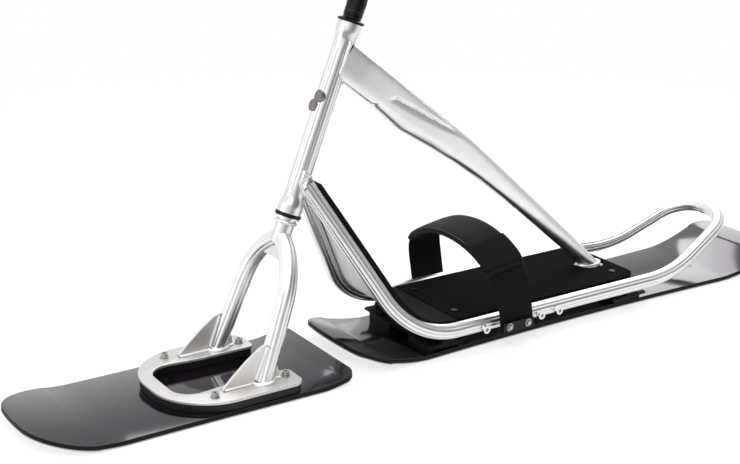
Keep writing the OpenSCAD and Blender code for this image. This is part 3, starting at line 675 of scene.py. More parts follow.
def ribbed(height: float, width: float, ribs: int = 8, depth: float = 1.1,
           count: int = 96) -> list[tuple[float, float]]:
    """A ribbed oval section, with rounded ribs and narrow flutes between them.

    Args:
        height: Size along local X, in millimetres.
        width: Size along local Y.
        ribs: Number of flutes.
        depth: Depth of a flute.
        count: Points round.

    Returns:
        Its points.
    """
    points = []
    for i in range(count):
        a = 2 * math.pi * i / count
        cut = depth * (0.5 + 0.5 * math.cos(ribs * a)) ** 3
        points.append(((height / 2 - cut) * math.cos(a), (width / 2 - cut) * math.sin(a)))
    return points


@dataclass
class Fork:
    """The horseshoe plate on rubber, two ribbed legs, gussets and the crown (millimetres)."""

    plate_low: float = 25.0
    plate_top: float = 30.0
    foot_y: float = 86.0
    splay: float = 5.5
    straight: float = 140.0
    bend_r: float = 120.0
    bend: float = 50.0
    size: float = 32.0
    half: float = 124.0
    gap: float = 60.0
    bridge: float = 27.0
    foot_bead: float = 4.6
    leg_bead: float = 4.2
    plate_bead: float = 3.8
    bead_lift: float = 0.6
    gusset_half: float = 3.4
    body: str = "steering"

    @property
    def foot_w(self) -> float:
        """Distance up the axis at which the legs meet the plate."""
        return self.plate_top / math.cos(RAKE)

    @property
    def axis_x(self) -> float:
        """Where the axis passes the plate's top, along X."""
        return on_axis(self.foot_w).translation.x / MM

    def leg(self, side: int) -> None:
        """Builds one leg: a straight run and a bend in to the crown.

        Args:
            side: 1 for the left leg, -1 for the right.
        """
        start = self.leg_frame(side)
        sweep = Sweep(ribbed(self.size, self.size), start)
        sweep.run(self.straight, 12)
        inward = start.to_3x3() @ Vector((0, -side, 0))
        sweep.bend(inward, self.bend_r, self.bend, 24).run(34)
        bm = sweep.close()
        bmesh.ops.edgeloop_fill(bm, edges=cut_away(bm, (0, side * 0.0001, 0), (0, -side, 0)))
        name = "left" if side > 0 else "right"
        leg = finished(f"leg_{name}_ribbed", bm, TUBE, self.body, 40)
        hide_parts(f"fork_leg_{name}")

    def outline(self, inset: float = 0.0) -> list[tuple[float, float]]:
        """The horseshoe's plan.

        Args:
            inset: How far it is drawn in.

        Returns:
            Its points, in millimetres.
        """
        front, rear, nose, heel, toe, inner = self.axis_x + 176, self.axis_x - 64, 108, 22, 10, 38
        hole_x, hole_y = front - self.bridge, self.gap + 7
        half = arc(front - nose, self.half - nose, nose - inset, 0, 90, 40)
        half += arc(rear + heel, self.half - heel, heel - inset, 90, 180, 12)
        half += arc(rear + toe, self.gap + toe, toe - inset, 180, 270, 8)
        half += [(hole_x - 118, self.gap + inset), (hole_x - 98, self.gap + 1 + inset),
                 (hole_x - 78, hole_y - 4 + inset), (hole_x - 56, hole_y - 1 + inset)]
        half += arc(hole_x - inner, hole_y - inner, inner + inset, 90, 0, 20)
        return half + [(x, -y) for x, y in reversed(half)]

    def plates(self) -> None:
        """Builds the horseshoe plate and the rubber under it."""
        bm = bmesh.new()
        plate(bm, self.outline(), self.plate_low, self.plate_top, 1.0, 3)
        shoe = finished("horseshoe_plate", bm, HORSESHOE, self.body, 30)
        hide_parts("fork_plate")
        bm = bmesh.new()
        plate(bm, self.outline(2.5), 10.0, self.plate_low, 1.2, 3)
        pad = finished("horseshoe_rubber", bm, RUBBER, self.body, 30)
        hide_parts("fork_pad")

    def build(self) -> None:
        """Builds the whole fork."""
        self.plates()
        self.leg(1)
        self.leg(-1)
        dress(PLATE, "fork_gussets_front", "fork_gussets_rear", "crown_web")
        dress(TURNED, "steerer", "crown_race")
        dress(SCREW, "fork_plate_bolts")
        self.welds()

    def leg_frame(self, side: int) -> Matrix:
        """A leg's own frame at its foot: local Z runs up the leg and local X points forward."""
        return on_axis(self.foot_w) @ Matrix.Translation(mm(0, side * self.foot_y, 0)) @ \
            Matrix.Rotation(math.radians(self.splay) * side, 4, "X")

    def foot_path(self, side: int) -> list[Vector]:
        """Points round a leg where it meets the plate."""
        frame_in = self.leg_frame(side)
        ahead = ahead_of(frame_in)
        path = []
        for i in range(40):
            a = 2 * math.pi * i / 40
            r = self.size / 2 + self.bead_lift
            start = frame_in @ mm(r * math.cos(a), r * math.sin(a), 0)
            path.append(start + ahead * ((self.plate_top + self.bead_lift) * MM - start.z) / ahead.z)
        return path

    def gusset_lines(self, side: int, edge: int) -> list[list[Vector]]:
        """Where one face of a leg's gussets meets the plate and the leg's front.

        Args:
            side: 1 for the left leg, -1 for the right.
            edge: 1 for the gusset's left face, -1 for its right one.

        Returns:
            The lines' points, in the row frame.
        """
        frame_in = self.leg_frame(side)
        y = side * (self.foot_y - 2) + edge * self.gusset_half
        up = []
        for i in range(9):
            middle = frame_in @ mm(0, 0, 8 + 7.5 * i) / MM
            out = (y - middle.y) / (self.size / 2)
            reach_x = self.size / 2 / math.cos(RAKE) * math.sqrt(max(0.0, 1 - out * out))
            up.append(mm(middle.x + reach_x + 0.4, y, middle.z))
        base, rear = ([mm(self.axis_x + x, y, self.plate_top + self.bead_lift) for x in ends]
                      for ends in ((16, 76), (-17, -31)))
        return [base, up, rear]

    def welds(self) -> None:
        """Builds the beads round the crown, at the legs' feet and along both faces of the gussets."""
        crown = on_axis(HeadTube.low - 16)
        ring = [crown @ mm(x, y, 0) for x, y in arc(0, 0, 17.4, 0, 350, 35)]
        weld("weld_crown", bead(ring, 3.0, True), self.body)
        for side, name in ((1, "left"), (-1, "right")):
            weld(f"weld_foot_{name}", bead(self.foot_path(side), self.foot_bead, True), self.body)
            for edge, face in ((1, "l"), (-1, "r")):
                for place, line in zip(("base", "leg", "heel"), self.gusset_lines(side, edge)):
                    radius = self.leg_bead if place == "leg" else self.plate_bead
                    weld(f"weld_{place}_{name}_{face}", bead(line, radius), self.body)


# Frame

@dataclass
class HeadTube:
    """The head tube with flared ends, its headset and the bare badge (millimetres)."""

    low: float = 314.0
    length: float = 345.0
    mid: float = 36.0
    end: float = 44.0
    bore: float = 30.0
    flutes: int = 12
    flute: float = 0.8
    first_flute: float = math.radians(8.5)
    body: str = "frame"

    def build(self) -> None:
        """Builds the tube and its rings."""
        r, e, n = self.mid / 2, self.end / 2, self.length
        flare = [(r + (e - r) * (0.5 + 0.5 * math.cos(math.pi * i / 10)), 12 + 22 * i / 10) for i in range(11)]
        flare += [(r, z) for z in (40, 50, 62)]
        profile = [(self.bore / 2, 0), (e - 0.8, 0), (e, 0.8)] + flare + \
            [(x, n - z) for x, z in reversed(flare)] + [(e, n - 0.8), (e - 0.8, n), (self.bore / 2, n),
                                                       (self.bore / 2, 0)]
        bm = bmesh.new()
        lathe(bm, profile, Matrix.Identity(4), 144)
        for v in bm.verts:
            turn, z = math.atan2(v.co.y, v.co.x), v.co.z / MM
            fade = min(1.0, max(0.0, (min(z, n - z) - 30) / 30))
            if math.hypot(v.co.x, v.co.y) > (r - 1) * MM:
                cut = self.flute * fade * (0.5 + 0.5 * math.cos(self.flutes * (turn - self.first_flute))) ** 3
                scale = 1 - cut * MM / math.hypot(v.co.x, v.co.y)
                v.co.x, v.co.y = v.co.x * scale, v.co.y * scale
        bmesh.ops.transform(bm, matrix=on_axis(self.low), verts=bm.verts)
        tube = finished("head_tube_flared", bm, TURNED, self.body, 40)
        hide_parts("head_tube")
        bm = bmesh.new()
        lathe(bm, [(14.7, 0.2), (23.2, 0.2), (24, 1), (24, 3.4), (22.6, 4.6), (17.2, 6), (16.2, 7), (16.2, 11),
                   (17, 12), (17, 18), (16.4, 19), (14.7, 19), (14.7, 0.2)], on_axis(self.low + n), 72)
        cup = finished("headset_upper_cup", bm, BLACK_ALLOY, self.body, 30)
        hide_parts("headset_upper")
        dress(BLACK_ALLOY, "headset_lower")
        dress(BADGE, "head_badge")


@dataclass
class Rails:
    """The two ribbed rails, from the head tube to the rear loop's weld (millimetres)."""

    half: float = 113.5
    z: float = 48.0
    high: float = 28.0
    wide: float = 28.0
    bend_r: float = 160.0
    joint_up: float = 52.0
    joint_y: float = 13.0
    head_low: float = HeadTube.low
    pinch_back: float = 578.0
    pinch: float = 10.0
    pinch_r: float = 150.0
    rise_lead: float = 15.0
    rise: float = 24.0
    rise_r: float = 250.0
    loop_run: float = 80.0
    seam: float = 5.0
    body: str = "frame"
    corner_x: float = field(init=False)
    flat_x: float = field(init=False)
    loop_end: Matrix = field(init=False)
    front_track: list[Vector] = field(init=False)

    def __post_init__(self) -> None:
        """Works out the rail's corners as the CAD does."""
        joint = on_axis(self.head_low + self.joint_up).translation / MM + Vector((-10, self.joint_y, 0))
        drop = joint.z - self.z
        self.corner_x = joint.x - drop * 0.556
        down = Vector((joint.x - self.corner_x, self.joint_y - self.half, drop))
        self.down_len = down.length
        self.turn = math.acos(down.x / down.length)
        self.roll = math.atan2(self.half - self.joint_y, drop)
        self.tangent = self.bend_r * math.tan(self.turn / 2)
        self.flat_x = self.corner_x - self.tangent
        self.flat_len = self.flat_x - self.corner_x + self.pinch_back

    def start(self, side: int, forward: bool) -> Matrix:
        """Frame at the flat part's front end, looking forward or back along the rail.

        Args:
            side: 1 for the left rail, -1 for the right.
            forward: Whether local Z points forward.

        Returns:
            A frame whose local X is up.
        """
        z_axis = Vector((1, 0, 0)) if forward else Vector((-1, 0, 0))
        x_axis = Vector((0, 0, 1))
        y_axis = z_axis.cross(x_axis)
        turn = Matrix((x_axis, y_axis, z_axis)).transposed().to_4x4()
        return Matrix.Translation(mm(self.flat_x, side * self.half, self.z)) @ turn

    def half_rail(self, side: int, forward: bool) -> Sweep:
        """Sweeps one of the rail's two ends from the flat part's front.

        Args:
            side: 1 for the left rail, -1 for the right.
            forward: Whether it is the part that goes up to the head tube.

        Returns:
            The sweep, still open.
        """
        sweep = Sweep(ribbed(self.high, self.wide, 8, 1.0), self.start(side, forward))
        if forward:
            toward = Vector((0, -side * math.sin(self.roll), math.cos(self.roll)))
            sweep.bend(toward, self.bend_r, math.degrees(self.turn), 28)
            return sweep.run(self.down_len - self.tangent, 4)
        sweep.run(self.flat_len, 6)
        inward = Vector((0, -side, 0))
        sweep.bend(inward, self.pinch_r, self.pinch, 6).run(self.rise_lead)
        sweep.bend(Vector((0, 0, 1)), self.rise_r, self.rise, 14).run(self.loop_run, 2)
        ahead = ahead_of(sweep.frame)
        turn = math.acos(ahead.dot(inward))
        radius = (abs(sweep.frame.translation.y) / MM - self.seam) / math.sin(turn)
        return sweep.bend(inward - ahead * ahead.dot(inward), radius, math.degrees(turn), 40).run(self.seam)

    def rail(self, side: int) -> None:
        """Builds one rail, cut to the head tube's back.

        The frame at its rear end and the line of its front are kept. The right rail is the last one built,
        so the line that stays has a negative y.

        Args:
            side: 1 for the left rail, -1 for the right.
        """
        name = "left" if side > 0 else "right"
        front = self.half_rail(side, True)
        self.front_track = front.track
        ring = [front.frame @ mm(x, y, 40) for x, y in arc(0, 0, self.high / 2 - 0.4, 0, 350, 35)]
        away = front.frame.to_3x3() @ Vector((0, 0, -1))
        weld(f"weld_rail_head_{name}", bead(saddle(ring, away, 18.4), 3.0, True), self.body)
        bmesh.ops.delete(front.bm, geom=[f for f in front.bm.faces if len(f.verts) > 4], context="FACES_ONLY")
        bm = front.bm
        behind = on_axis(self.head_low) @ mm(-4.0, 0, 0)
        ahead = on_axis(0).to_3x3() @ Vector((1, 0, 0))
        cut_away(bm, behind, ahead)
        cut_away(bm, (0, side * 0.0002, 0), (0, -side, 0))
        bmesh.ops.holes_fill(bm, edges=[e for e in bm.edges if e.is_boundary and e.calc_length() > 0
                                        and min(v.co.z for v in e.verts) > 0.2], sides=0)
        back = self.half_rail(side, False)
        self.loop_end = back.frame.copy()
        bmesh.ops.edgeloop_fill(back.bm, edges=back.loop())
        mesh = bpy.data.meshes.new("part")
        back.bm.to_mesh(mesh)
        back.bm.free()
        bm.from_mesh(mesh)
        bpy.data.meshes.remove(mesh)
        bmesh.ops.remove_doubles(bm, verts=bm.verts, dist=2e-5)
        rail = finished(f"rail_{name}_ribbed", bm, TUBE, self.body, 40)
        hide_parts(f"rail_{name}")

    def build(self) -> None:
        """Builds both rails and the loop's weld."""
        self.rail(1)
        self.rail(-1)
        path = [self.loop_end @ mm(x, y, 0) for x, y in arc(0, 0, self.high / 2 - 0.8, 0, 350, 35)]
        weld("weld_loop", bead(path, 1.8, True), self.body)


@dataclass
class TopTube:
    """The hydroformed tube: a chamfered box at the head that turns into a round foot (millimetres)."""

    joint_down: float = 68.0
    head_top: float = HeadTube.low + HeadTube.length
    up: float = 42.5
    down: float = 28.5
    wide: float = 42.0
    foot_x: float = -388.32
    foot_z: float = 62.0
    body: str = "frame"
    creases: tuple[tuple[float, float], ...] = ((0.0, 8.7), (0.164, 8.7), (0.252, 18.8), (0.332, 28.6),
                                                (0.4, 36.0))
    rings: tuple[tuple[float, ...], ...] = (
        (0.00, 1.00, 1.00, 0.86, 0.62), (0.07, 1.00, 0.98, 0.98, 0.62), (0.14, 1.00, 0.95, 1.00, 0.62),
        (0.24, 1.00, 1.07, 0.99, 0.55),
        (0.34, 1.00, 0.68, 0.97, 0.48), (0.43, 0.97, 0.40, 0.94, 0.38), (0.52, 0.91, 0.27, 0.90, 0.22),
        (0.63, 0.82, 0.235, 0.86, 0.08), (0.77, 0.70, 0.25, 0.83, 0.0), (0.88, 0.59, 0.30, 0.81, 0.0),
        (1.03, 0.40, 0.58, 0.81, 0.0))

    def line(self) -> tuple[Matrix, float]:
        """The tube's frame at the head, with local Z down the tube, and its length."""
        top = on_axis(self.head_top - self.joint_down).translation
        foot = mm(self.foot_x, 0, self.foot_z)
        ahead = (foot - top).normalized()
        side = Vector((0, 1, 0))
        up = side.cross(ahead) * -1
        if up.z < 0:
            up = -up
        turn = Matrix((side, up, ahead)).transposed().to_4x4()
        return Matrix.Translation(top) @ turn, (foot - top).length

    def ring_at(self, share: float) -> tuple[float, ...]:
        """The section's sizes at a share of the length, eased between the table's rings."""
        for a, b in zip(self.rings, self.rings[1:]):
            if share <= b[0]:
                t = (share - a[0]) / (b[0] - a[0])
                return tuple(x + (y - x) * t for x, y in zip(a, b))
        return self.rings[-1]

    def side(self, share: float, z: float, half: float, up: float, down: float) -> float:
        """Draws the side in: a chamfer under the top edge, and a round lower flank behind a slanted step.

        Args:
            share: Share of the tube's length.
            z: Height on the side.
            half: The side's distance from the middle there, before this.
            up: Height of the top over the tube's line.
            down: Depth of the bottom under it.

        Returns:
            The new distance.
        """
        fade = max(0.0, min(1.0, (0.42 - share) / 0.08))
        chamfer = max(0.0, (z - up + 9) / 9) * 7 * fade
        crease = next((a[1] + (b[1] - a[1]) * (share - a[0]) / (b[0] - a[0])
                       for a, b in zip(self.creases, self.creases[1:]) if share <= b[0]), up)
        half = max(0.0, half - chamfer)
        if share > self.creases[-1][0]:
            return half
        # The step slants from a share of 0.118 at the bottom, z -30.6, to 0.164 at the crease's start, z 8.7
        front = 0.118 + (min(z, 8.7) + 30.6) / 39.3 * 0.046
        step = min(1.0, max(0.0, (share - front) / 0.009)) * min(1.0, (self.creases[-1][0] - share) / 0.06)
        below = min(1.0, max(0.0, (crease + 2.5 - z) / 4))
        top = crease + 0.16 * (crease + down)
        near = abs(2 * z - top + down) / (top + down)
        bulge = self.wide / 2 * (1 - min(1.0, near) ** 2.4) ** (1 / 2.4)
        return half + (min(half, bulge) - half) * step * below

    def section(self, share: float, stride: int = 1) -> list[Vector]:
        """Points round the section, in metres, across and up."""
        _, up, down, wide, square = self.ring_at(share)
        power = 2 + 4.4 * square
        high, low = self.up * up, self.down * down
        middle, tall, half = (high - low) / 2, (high + low) / 2, self.wide * wide / 2
        edge = (1 - 0.9 ** power) ** (1 / power)
        quarter = [((1 - (0.05 * i) ** power) ** (1 / power), 0.05 * i) for i in range(19)]
        quarter += [(edge * (1 - i / 9), (1 - (edge * (1 - i / 9)) ** power) ** (1 / power)) for i in range(1, 10)]
        right = [(y, -z) for y, z in reversed(quarter[1:])] + quarter
        ring = right[:-1] + [(-y, z) for y, z in reversed(right[1:])]
        points = []
        for y, z in ring:
            place = middle + z * tall
            points.append(mm(math.copysign(self.side(share, place, abs(y) * half, high, low), y), place, 0))
        return points[::stride]

    def build(self) -> None:
        """Builds the tube, cut at the head tube and on the deck, and its two welds."""
        place, length = self.line()
        bm = bmesh.new()
        layer = bm.verts.layers.float_vector.new("unbent")
        shares = [0.012 * k for k in range(9)] + [0.1 + 0.003 * k for k in range(28)] + \
            [0.186 + (1.03 - 0.186) * k / 68 for k in range(69)]
        ring = bmesh.ops.create_circle(bm, segments=len(self.section(0.0)), radius=1.0)["verts"]
        for share in shares:
            if share:
                inside = set(ring)
                loop = list({e for v in ring for e in v.link_edges if e.other_vert(v) in inside})
                grown = set(bmesh.ops.extrude_edge_only(bm, edges=loop)["geom"])
                ring = [next(e.other_vert(v) for e in v.link_edges if e.other_vert(v) in grown) for v in ring]
            for v, p in zip(ring, self.section(share)):
                v.co = place @ (p + Vector((0, 0, share * length)))
                v[layer] = p + Vector((0, 0, share * length))
        behind = on_axis(self.head_top) @ mm(-2.0, 0, 0)
        ahead = on_axis(0).to_3x3() @ Vector((1, 0, 0))
        for point, normal in ((behind, ahead), (mm(0, 0, self.foot_z - 5.5), Vector((0, 0, -1)))):
            bmesh.ops.edgeloop_fill(bm, edges=cut_away(bm, point, normal))
        tube = finished("top_tube_hydroformed", bm, TUBE, self.body, 30)
        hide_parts("top_tube")
        self.welds(place, length)

    def welds(self, place: Matrix, length: float) -> None:
        """Builds the beads at the head tube and at the foot.

        Args:
            place: The tube's frame.
            length: Its length in metres.
        """
        ahead = ahead_of(place)
        foot = []
        for p in self.section(0.99, 2):
            start = place @ (p * 1.02 + Vector((0, 0, 0.99 * length)))
            foot.append(start + ahead * ((self.foot_z + 1.0) * MM - start.z) / ahead.z)
        weld("weld_top_tube_foot", bead(foot, 2.4, True), self.body)
        head = saddle([place @ (p * 1.01) for p in self.section(0.05, 2)], ahead, 18.6)
        weld("weld_top_tube_head", bead(head, 2.4, True), self.body)


@dataclass
class Deck:
    """The deck plate, its pads and the risers under the rails (millimetres).

    The kick pad starts between the rails and comes to lap over them. Its track is a rail's line in metres.
    """

    track: list[Vector]
    seam_x: float = 19.3
    seam_lift: float = 13.0
    proud: float = 23.0
    sheet: float = 8.6
    inside: float = 14.3
    overlap: float = 5.5
    ease: int = 24
    body: str = "frame"

    def kick_pad(self) -> None:
        """Builds the foam sheet that lies on the rails where they turn up to the head tube."""
        line = [Vector((self.seam_x * MM, self.track[0].y, self.track[0].z))] + self.track
        line = line[:-1] + [line[-2].lerp(line[-1], 0.8)]
        across, count = 10, len(line)
        bm = bmesh.new()
        for v in bmesh.ops.create_grid(bm, x_segments=across, y_segments=count - 1, size=0.5)["verts"]:
            i, k = round((v.co.x + 0.5) * across), round((v.co.y + 0.5) * (count - 1))
            here = line[k]
            ahead = (line[min(k + 1, count - 1)] - line[max(k - 1, 0)]).normalized()
            out = Vector((-ahead.z, 0, ahead.x)).normalized()
            share = min(1.0, k / self.ease)
            lap = min(1.0, max(0.0, (share - 0.15) / 0.5))
            half = abs(here.y) + (self.overlap * lap - self.inside * (1 - lap)) * MM
            half *= (1.0, 0.99, 0.92)[max(0, k - count + 3)]
            lift = (self.seam_lift + (self.proud - self.seam_lift) * share) * MM
            v.co = Vector((here.x, 0, here.z)) + out * lift + Vector((0, (2 * i / across - 1) * half, 0))
        bmesh.ops.recalc_face_normals(bm, faces=bm.faces)
        if bm.faces[:][0].normal.z < 0:
            bmesh.ops.reverse_faces(bm, faces=bm.faces)
        bmesh.ops.solidify(bm, geom=bm.faces[:], thickness=self.sheet * MM)
        pad = finished("kick_pad_sheet", bm, FOAM, self.body, 50, recalc=False)
        rounded_rim(pad, MM, 2)
        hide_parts("kick_pad")

    def build(self) -> None:
        """Builds the kick's pad and gives the other nodes their finishes."""
        self.kick_pad()
        dress(SHEET, "deck_plate")
        dress(FELT, "deck_pad")
        dress(BLACK_SCREW, "deck_screws", "riser_bolts")
        dress(NYLON, "riser_front", "riser_rear")
        dress(RUBBER, "riser_pad_front", "riser_pad_rear")
        dress(TURNED, "eyelets_left", "eyelets_right")
        dress(BLACK_ALLOY, "anchor_left", "anchor_right")


# Foot strap

@dataclass
class FootStrap:
    """The webbing arch over the deck and its padded sleeve (millimetres)."""

    x: float = -88.96
    foot_z: float = 44.0
    lean: float = 9.0
    wide: float = 76.0
    thick: float = 3.2
    half: float = 140.0
    top: float = 194.5
    sleeve_wide: float = 86.0
    knee: float = 92.0
    stitch_x: float = 38.0
    screw_y: float = 127.5 + 9 + 0.3 + 8 + 0.3 + 3
    body: str = "frame"

    def at(self, y: float, z: float, x: float = 0.0) -> Vector:
        """A point of the leaning arch, from across, height and place along the strap's width."""
        turn = Matrix.Rotation(math.radians(self.lean), 4, "Y")
        return mm(self.x, 0, self.foot_z) + turn @ mm(x, y, z - self.foot_z)

    def arch(self, count: int = 72) -> list[tuple[float, float]]:
        """Across and height of the arch's middle line, from the left anchor to the right one."""
        knee = self.knee
        points = [(self.half, self.foot_z - 8 + (knee - self.foot_z + 8) * i / 12) for i in range(12)]
        for i in range(count + 1):
            a = math.pi * i / count
            power = 0.9 if i < count / 2 else 0.9 - 0.35 * (2 * i / count - 1)
            points.append((self.half * math.cos(a), knee + (self.top - knee) * math.sin(a) ** power))
        return points + [(-self.half, z) for _, z in reversed(points[:12])]

    def band(self, name: str, line: Sequence[tuple[float, float]], wide: float, low: float, high: float,
             finish: Finish, crown: float = 0.0, round_edge: float = 1.0, shift: float = 0.0) -> bpy.types.Object:
        """A strip of cloth that follows the arch.

        Args:
            name: The piece's name.
            line: Across and height of its middle line.
            wide: Its width.
            low: Its inner face's distance outside the line.
            high: Its outer face's distance outside the line.
            finish: Its finish.
            crown: How much it swells at its middle.
            round_edge: Radius of its rims.
            shift: How far forward it lies from the arch's middle.

        Returns:
            The piece.
        """
        across = 16
        bm = bmesh.new()
        layer = bm.verts.layers.float_vector.new("unbent")
        count = len(line)
        gone = [0.0]
        for a, b in zip(line, line[1:]):
            gone.append(gone[-1] + math.dist(a, b))
        grid = bmesh.ops.create_grid(bm, x_segments=across, y_segments=count - 1, size=0.5)["verts"]
        for v in grid:
            i = round((v.co.x + 0.5) * across)
            k = round((v.co.y + 0.5) * (count - 1))
            before, after = line[max(k - 1, 0)], line[min(k + 1, count - 1)]
            out = Vector((after[1] - before[1], before[0] - after[0])).normalized() * -1
            if out.dot(Vector(line[k]) - Vector((0, 60))) < 0:
                out = -out
            t = 2 * i / across - 1
            ends = min(1.0, min(k, count - 1 - k) / 3)
            swell = crown * (1 - t ** 4) * ends
            offset = high + swell
            y, z = line[k][0] + out.x * offset, line[k][1] + out.y * offset
            v.co = self.at(y, z, shift + t * wide / 2)
            v[layer] = mm(t * wide / 2, 0, gone[k])
        bmesh.ops.recalc_face_normals(bm, faces=bm.faces)
        middle = self.at(0, 60)
        probe = bm.faces[:][len(bm.faces) // 2]
        if probe.normal.dot(probe.calc_center_median() - middle) < 0:
            bmesh.ops.reverse_faces(bm, faces=bm.faces)
        mean = (high - low + crown * 0.5) * MM
        bmesh.ops.solidify(bm, geom=bm.faces[:], thickness=mean)
        piece = finished(name, bm, finish, self.body, recalc=False, smooth=50)
        rounded_rim(piece, round_edge * MM, 3)
        return piece

    def build(self) -> None:
        """Builds the webbing, the sleeve, its hook tab and stitches, and the anchors' screws."""
        line = self.arch()
        webbing = self.band("strap_webbing", line, self.wide, 0, self.thick, WEBBING)
        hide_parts("strap_band")
        sleeve = self.band("strap_padded_sleeve", line[24:76], self.sleeve_wide, -2.0, self.thick + 3.5, OXFORD,
                           crown=3.0, round_edge=3.0)
        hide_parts("strap_sleeve")
        fold = self.band("strap_hook_tab", line[26:38], self.wide + 14, self.thick + 6.2, self.thick + 8.7,
                         WEBBING, shift=4.0)
        for name, shift in (("front", self.stitch_x), ("rear", -self.stitch_x)):
            stitch = self.band(f"strap_stitch_{name}", line[39:75], 1.6, self.thick + 3.0, self.thick + 4.9,
                               THREAD, round_edge=0.3, shift=shift)
        for side, name in ((1, "left"), (-1, "right")):
            bm = bmesh.new()
            for end in (-1, 1):
                place = Matrix.Translation(mm(self.x + end * 22, side * self.screw_y, self.foot_z)) @ \
                    Matrix.Rotation(-side * math.pi / 2, 4, "X")
                lathe(bm, [(0, 4.6), (1.2, 4.6), (4.2, 4.4), (5.6, 3.2), (6.0, 1.2), (7.6, 1.1), (7.8, 0), (0, 0)],
                      place, 32)
            finished(f"anchor_screws_{name}", bm, SCREW, self.body, 30)


# Cockpit

@dataclass
class Cockpit:
    """Spacers, stem, handlebar with its crossbar, and grips (millimetres)."""

    clamp: float = 728.3
    reach: float = 46.0
    bar_r: float = 11.1
    half: float = 320.0
    rise: float = 215.0
    low_y: float = 70.0
    high_y: float = 138.0
    bend_r: float = 58.0
    grip_len: float = 130.0
    grip_r: float = 15.5
    body: str = "steering"

    def bar(self) -> None:
        """Sweeps the handlebar through its four bends."""
        lean = math.degrees(math.atan2(self.rise, self.high_y - self.low_y))
        run = self.bend_r * math.tan(math.radians(lean) / 2)
        place = on_axis(self.clamp) @ Matrix.Translation(mm(self.reach, 0, 0))
        up = ahead_of(place)
        start = place @ Matrix.Translation(mm(0, -self.half, self.rise)) @ Matrix.Rotation(-math.pi / 2, 4, "X")
        turns = [2 * math.pi * i / 40 for i in range(40)]
        ring = [(self.bar_r * math.cos(a), self.bar_r * math.sin(a)) for a in turns]
        slope = math.hypot(self.rise, self.high_y - self.low_y) - 2 * run
        sweep = Sweep(ring, start).run(self.half - self.high_y - run)
        sweep.bend(-up, self.bend_r, lean, 14)
        side = ahead_of(sweep.frame)
        across = place.to_3x3() @ Vector((1, 0, 0))
        sweep.run(slope).bend(across.cross(side), self.bend_r, lean, 14)
        sweep.run(2 * (self.low_y - run)).bend(up, self.bend_r, lean, 14)
        side = ahead_of(sweep.frame)
        sweep.run(slope).bend(side.cross(across), self.bend_r, lean, 14).run(self.half - self.high_y - run)
        bar = finished("handlebar_swept", sweep.close(), PAINT, self.body, 40)
        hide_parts("handlebar")

    def grip(self, side: int) -> None:
        """Builds a grip with moulded rings.

        Args:
            side: 1 for the left grip, -1 for the right.
        """
        profile: list[tuple[float, float]] = [(self.bar_r, 0), (self.grip_r - 1.5, 0), (self.grip_r, 1.5)]
        z = 5.0
        while z < self.grip_len - 6:
            profile += [(self.grip_r, z), (self.grip_r - 1.1, z + 0.6), (self.grip_r - 1.1, z + 2.0),
                        (self.grip_r, z + 2.6)]
            z += 5.0
        end = self.grip_len + 3
        profile += [(self.grip_r, end - 2), (self.grip_r - 2, end), (0, end)]
        place = on_axis(self.clamp) @ Matrix.Translation(mm(self.reach, side * (self.half - self.grip_len),
                                                            self.rise)) @ \
            Matrix.Rotation(-side * math.pi / 2, 4, "X")
        bm = bmesh.new()
        lathe(bm, profile, place, 40)
        name = "left" if side > 0 else "right"
        piece = finished(f"grip_{name}_ringed", bm, GRIP, self.body, 30)
        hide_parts(f"grip_{name}")

    def build(self) -> None:
        """Builds the bar and grips and dresses the rest."""
        self.bar()
        self.grip(1)
        self.grip(-1)
        dress(BLACK_ALLOY, "spacers", "stem", "stem_cap")
        dress(PAINT, "crossbar")


# Studio

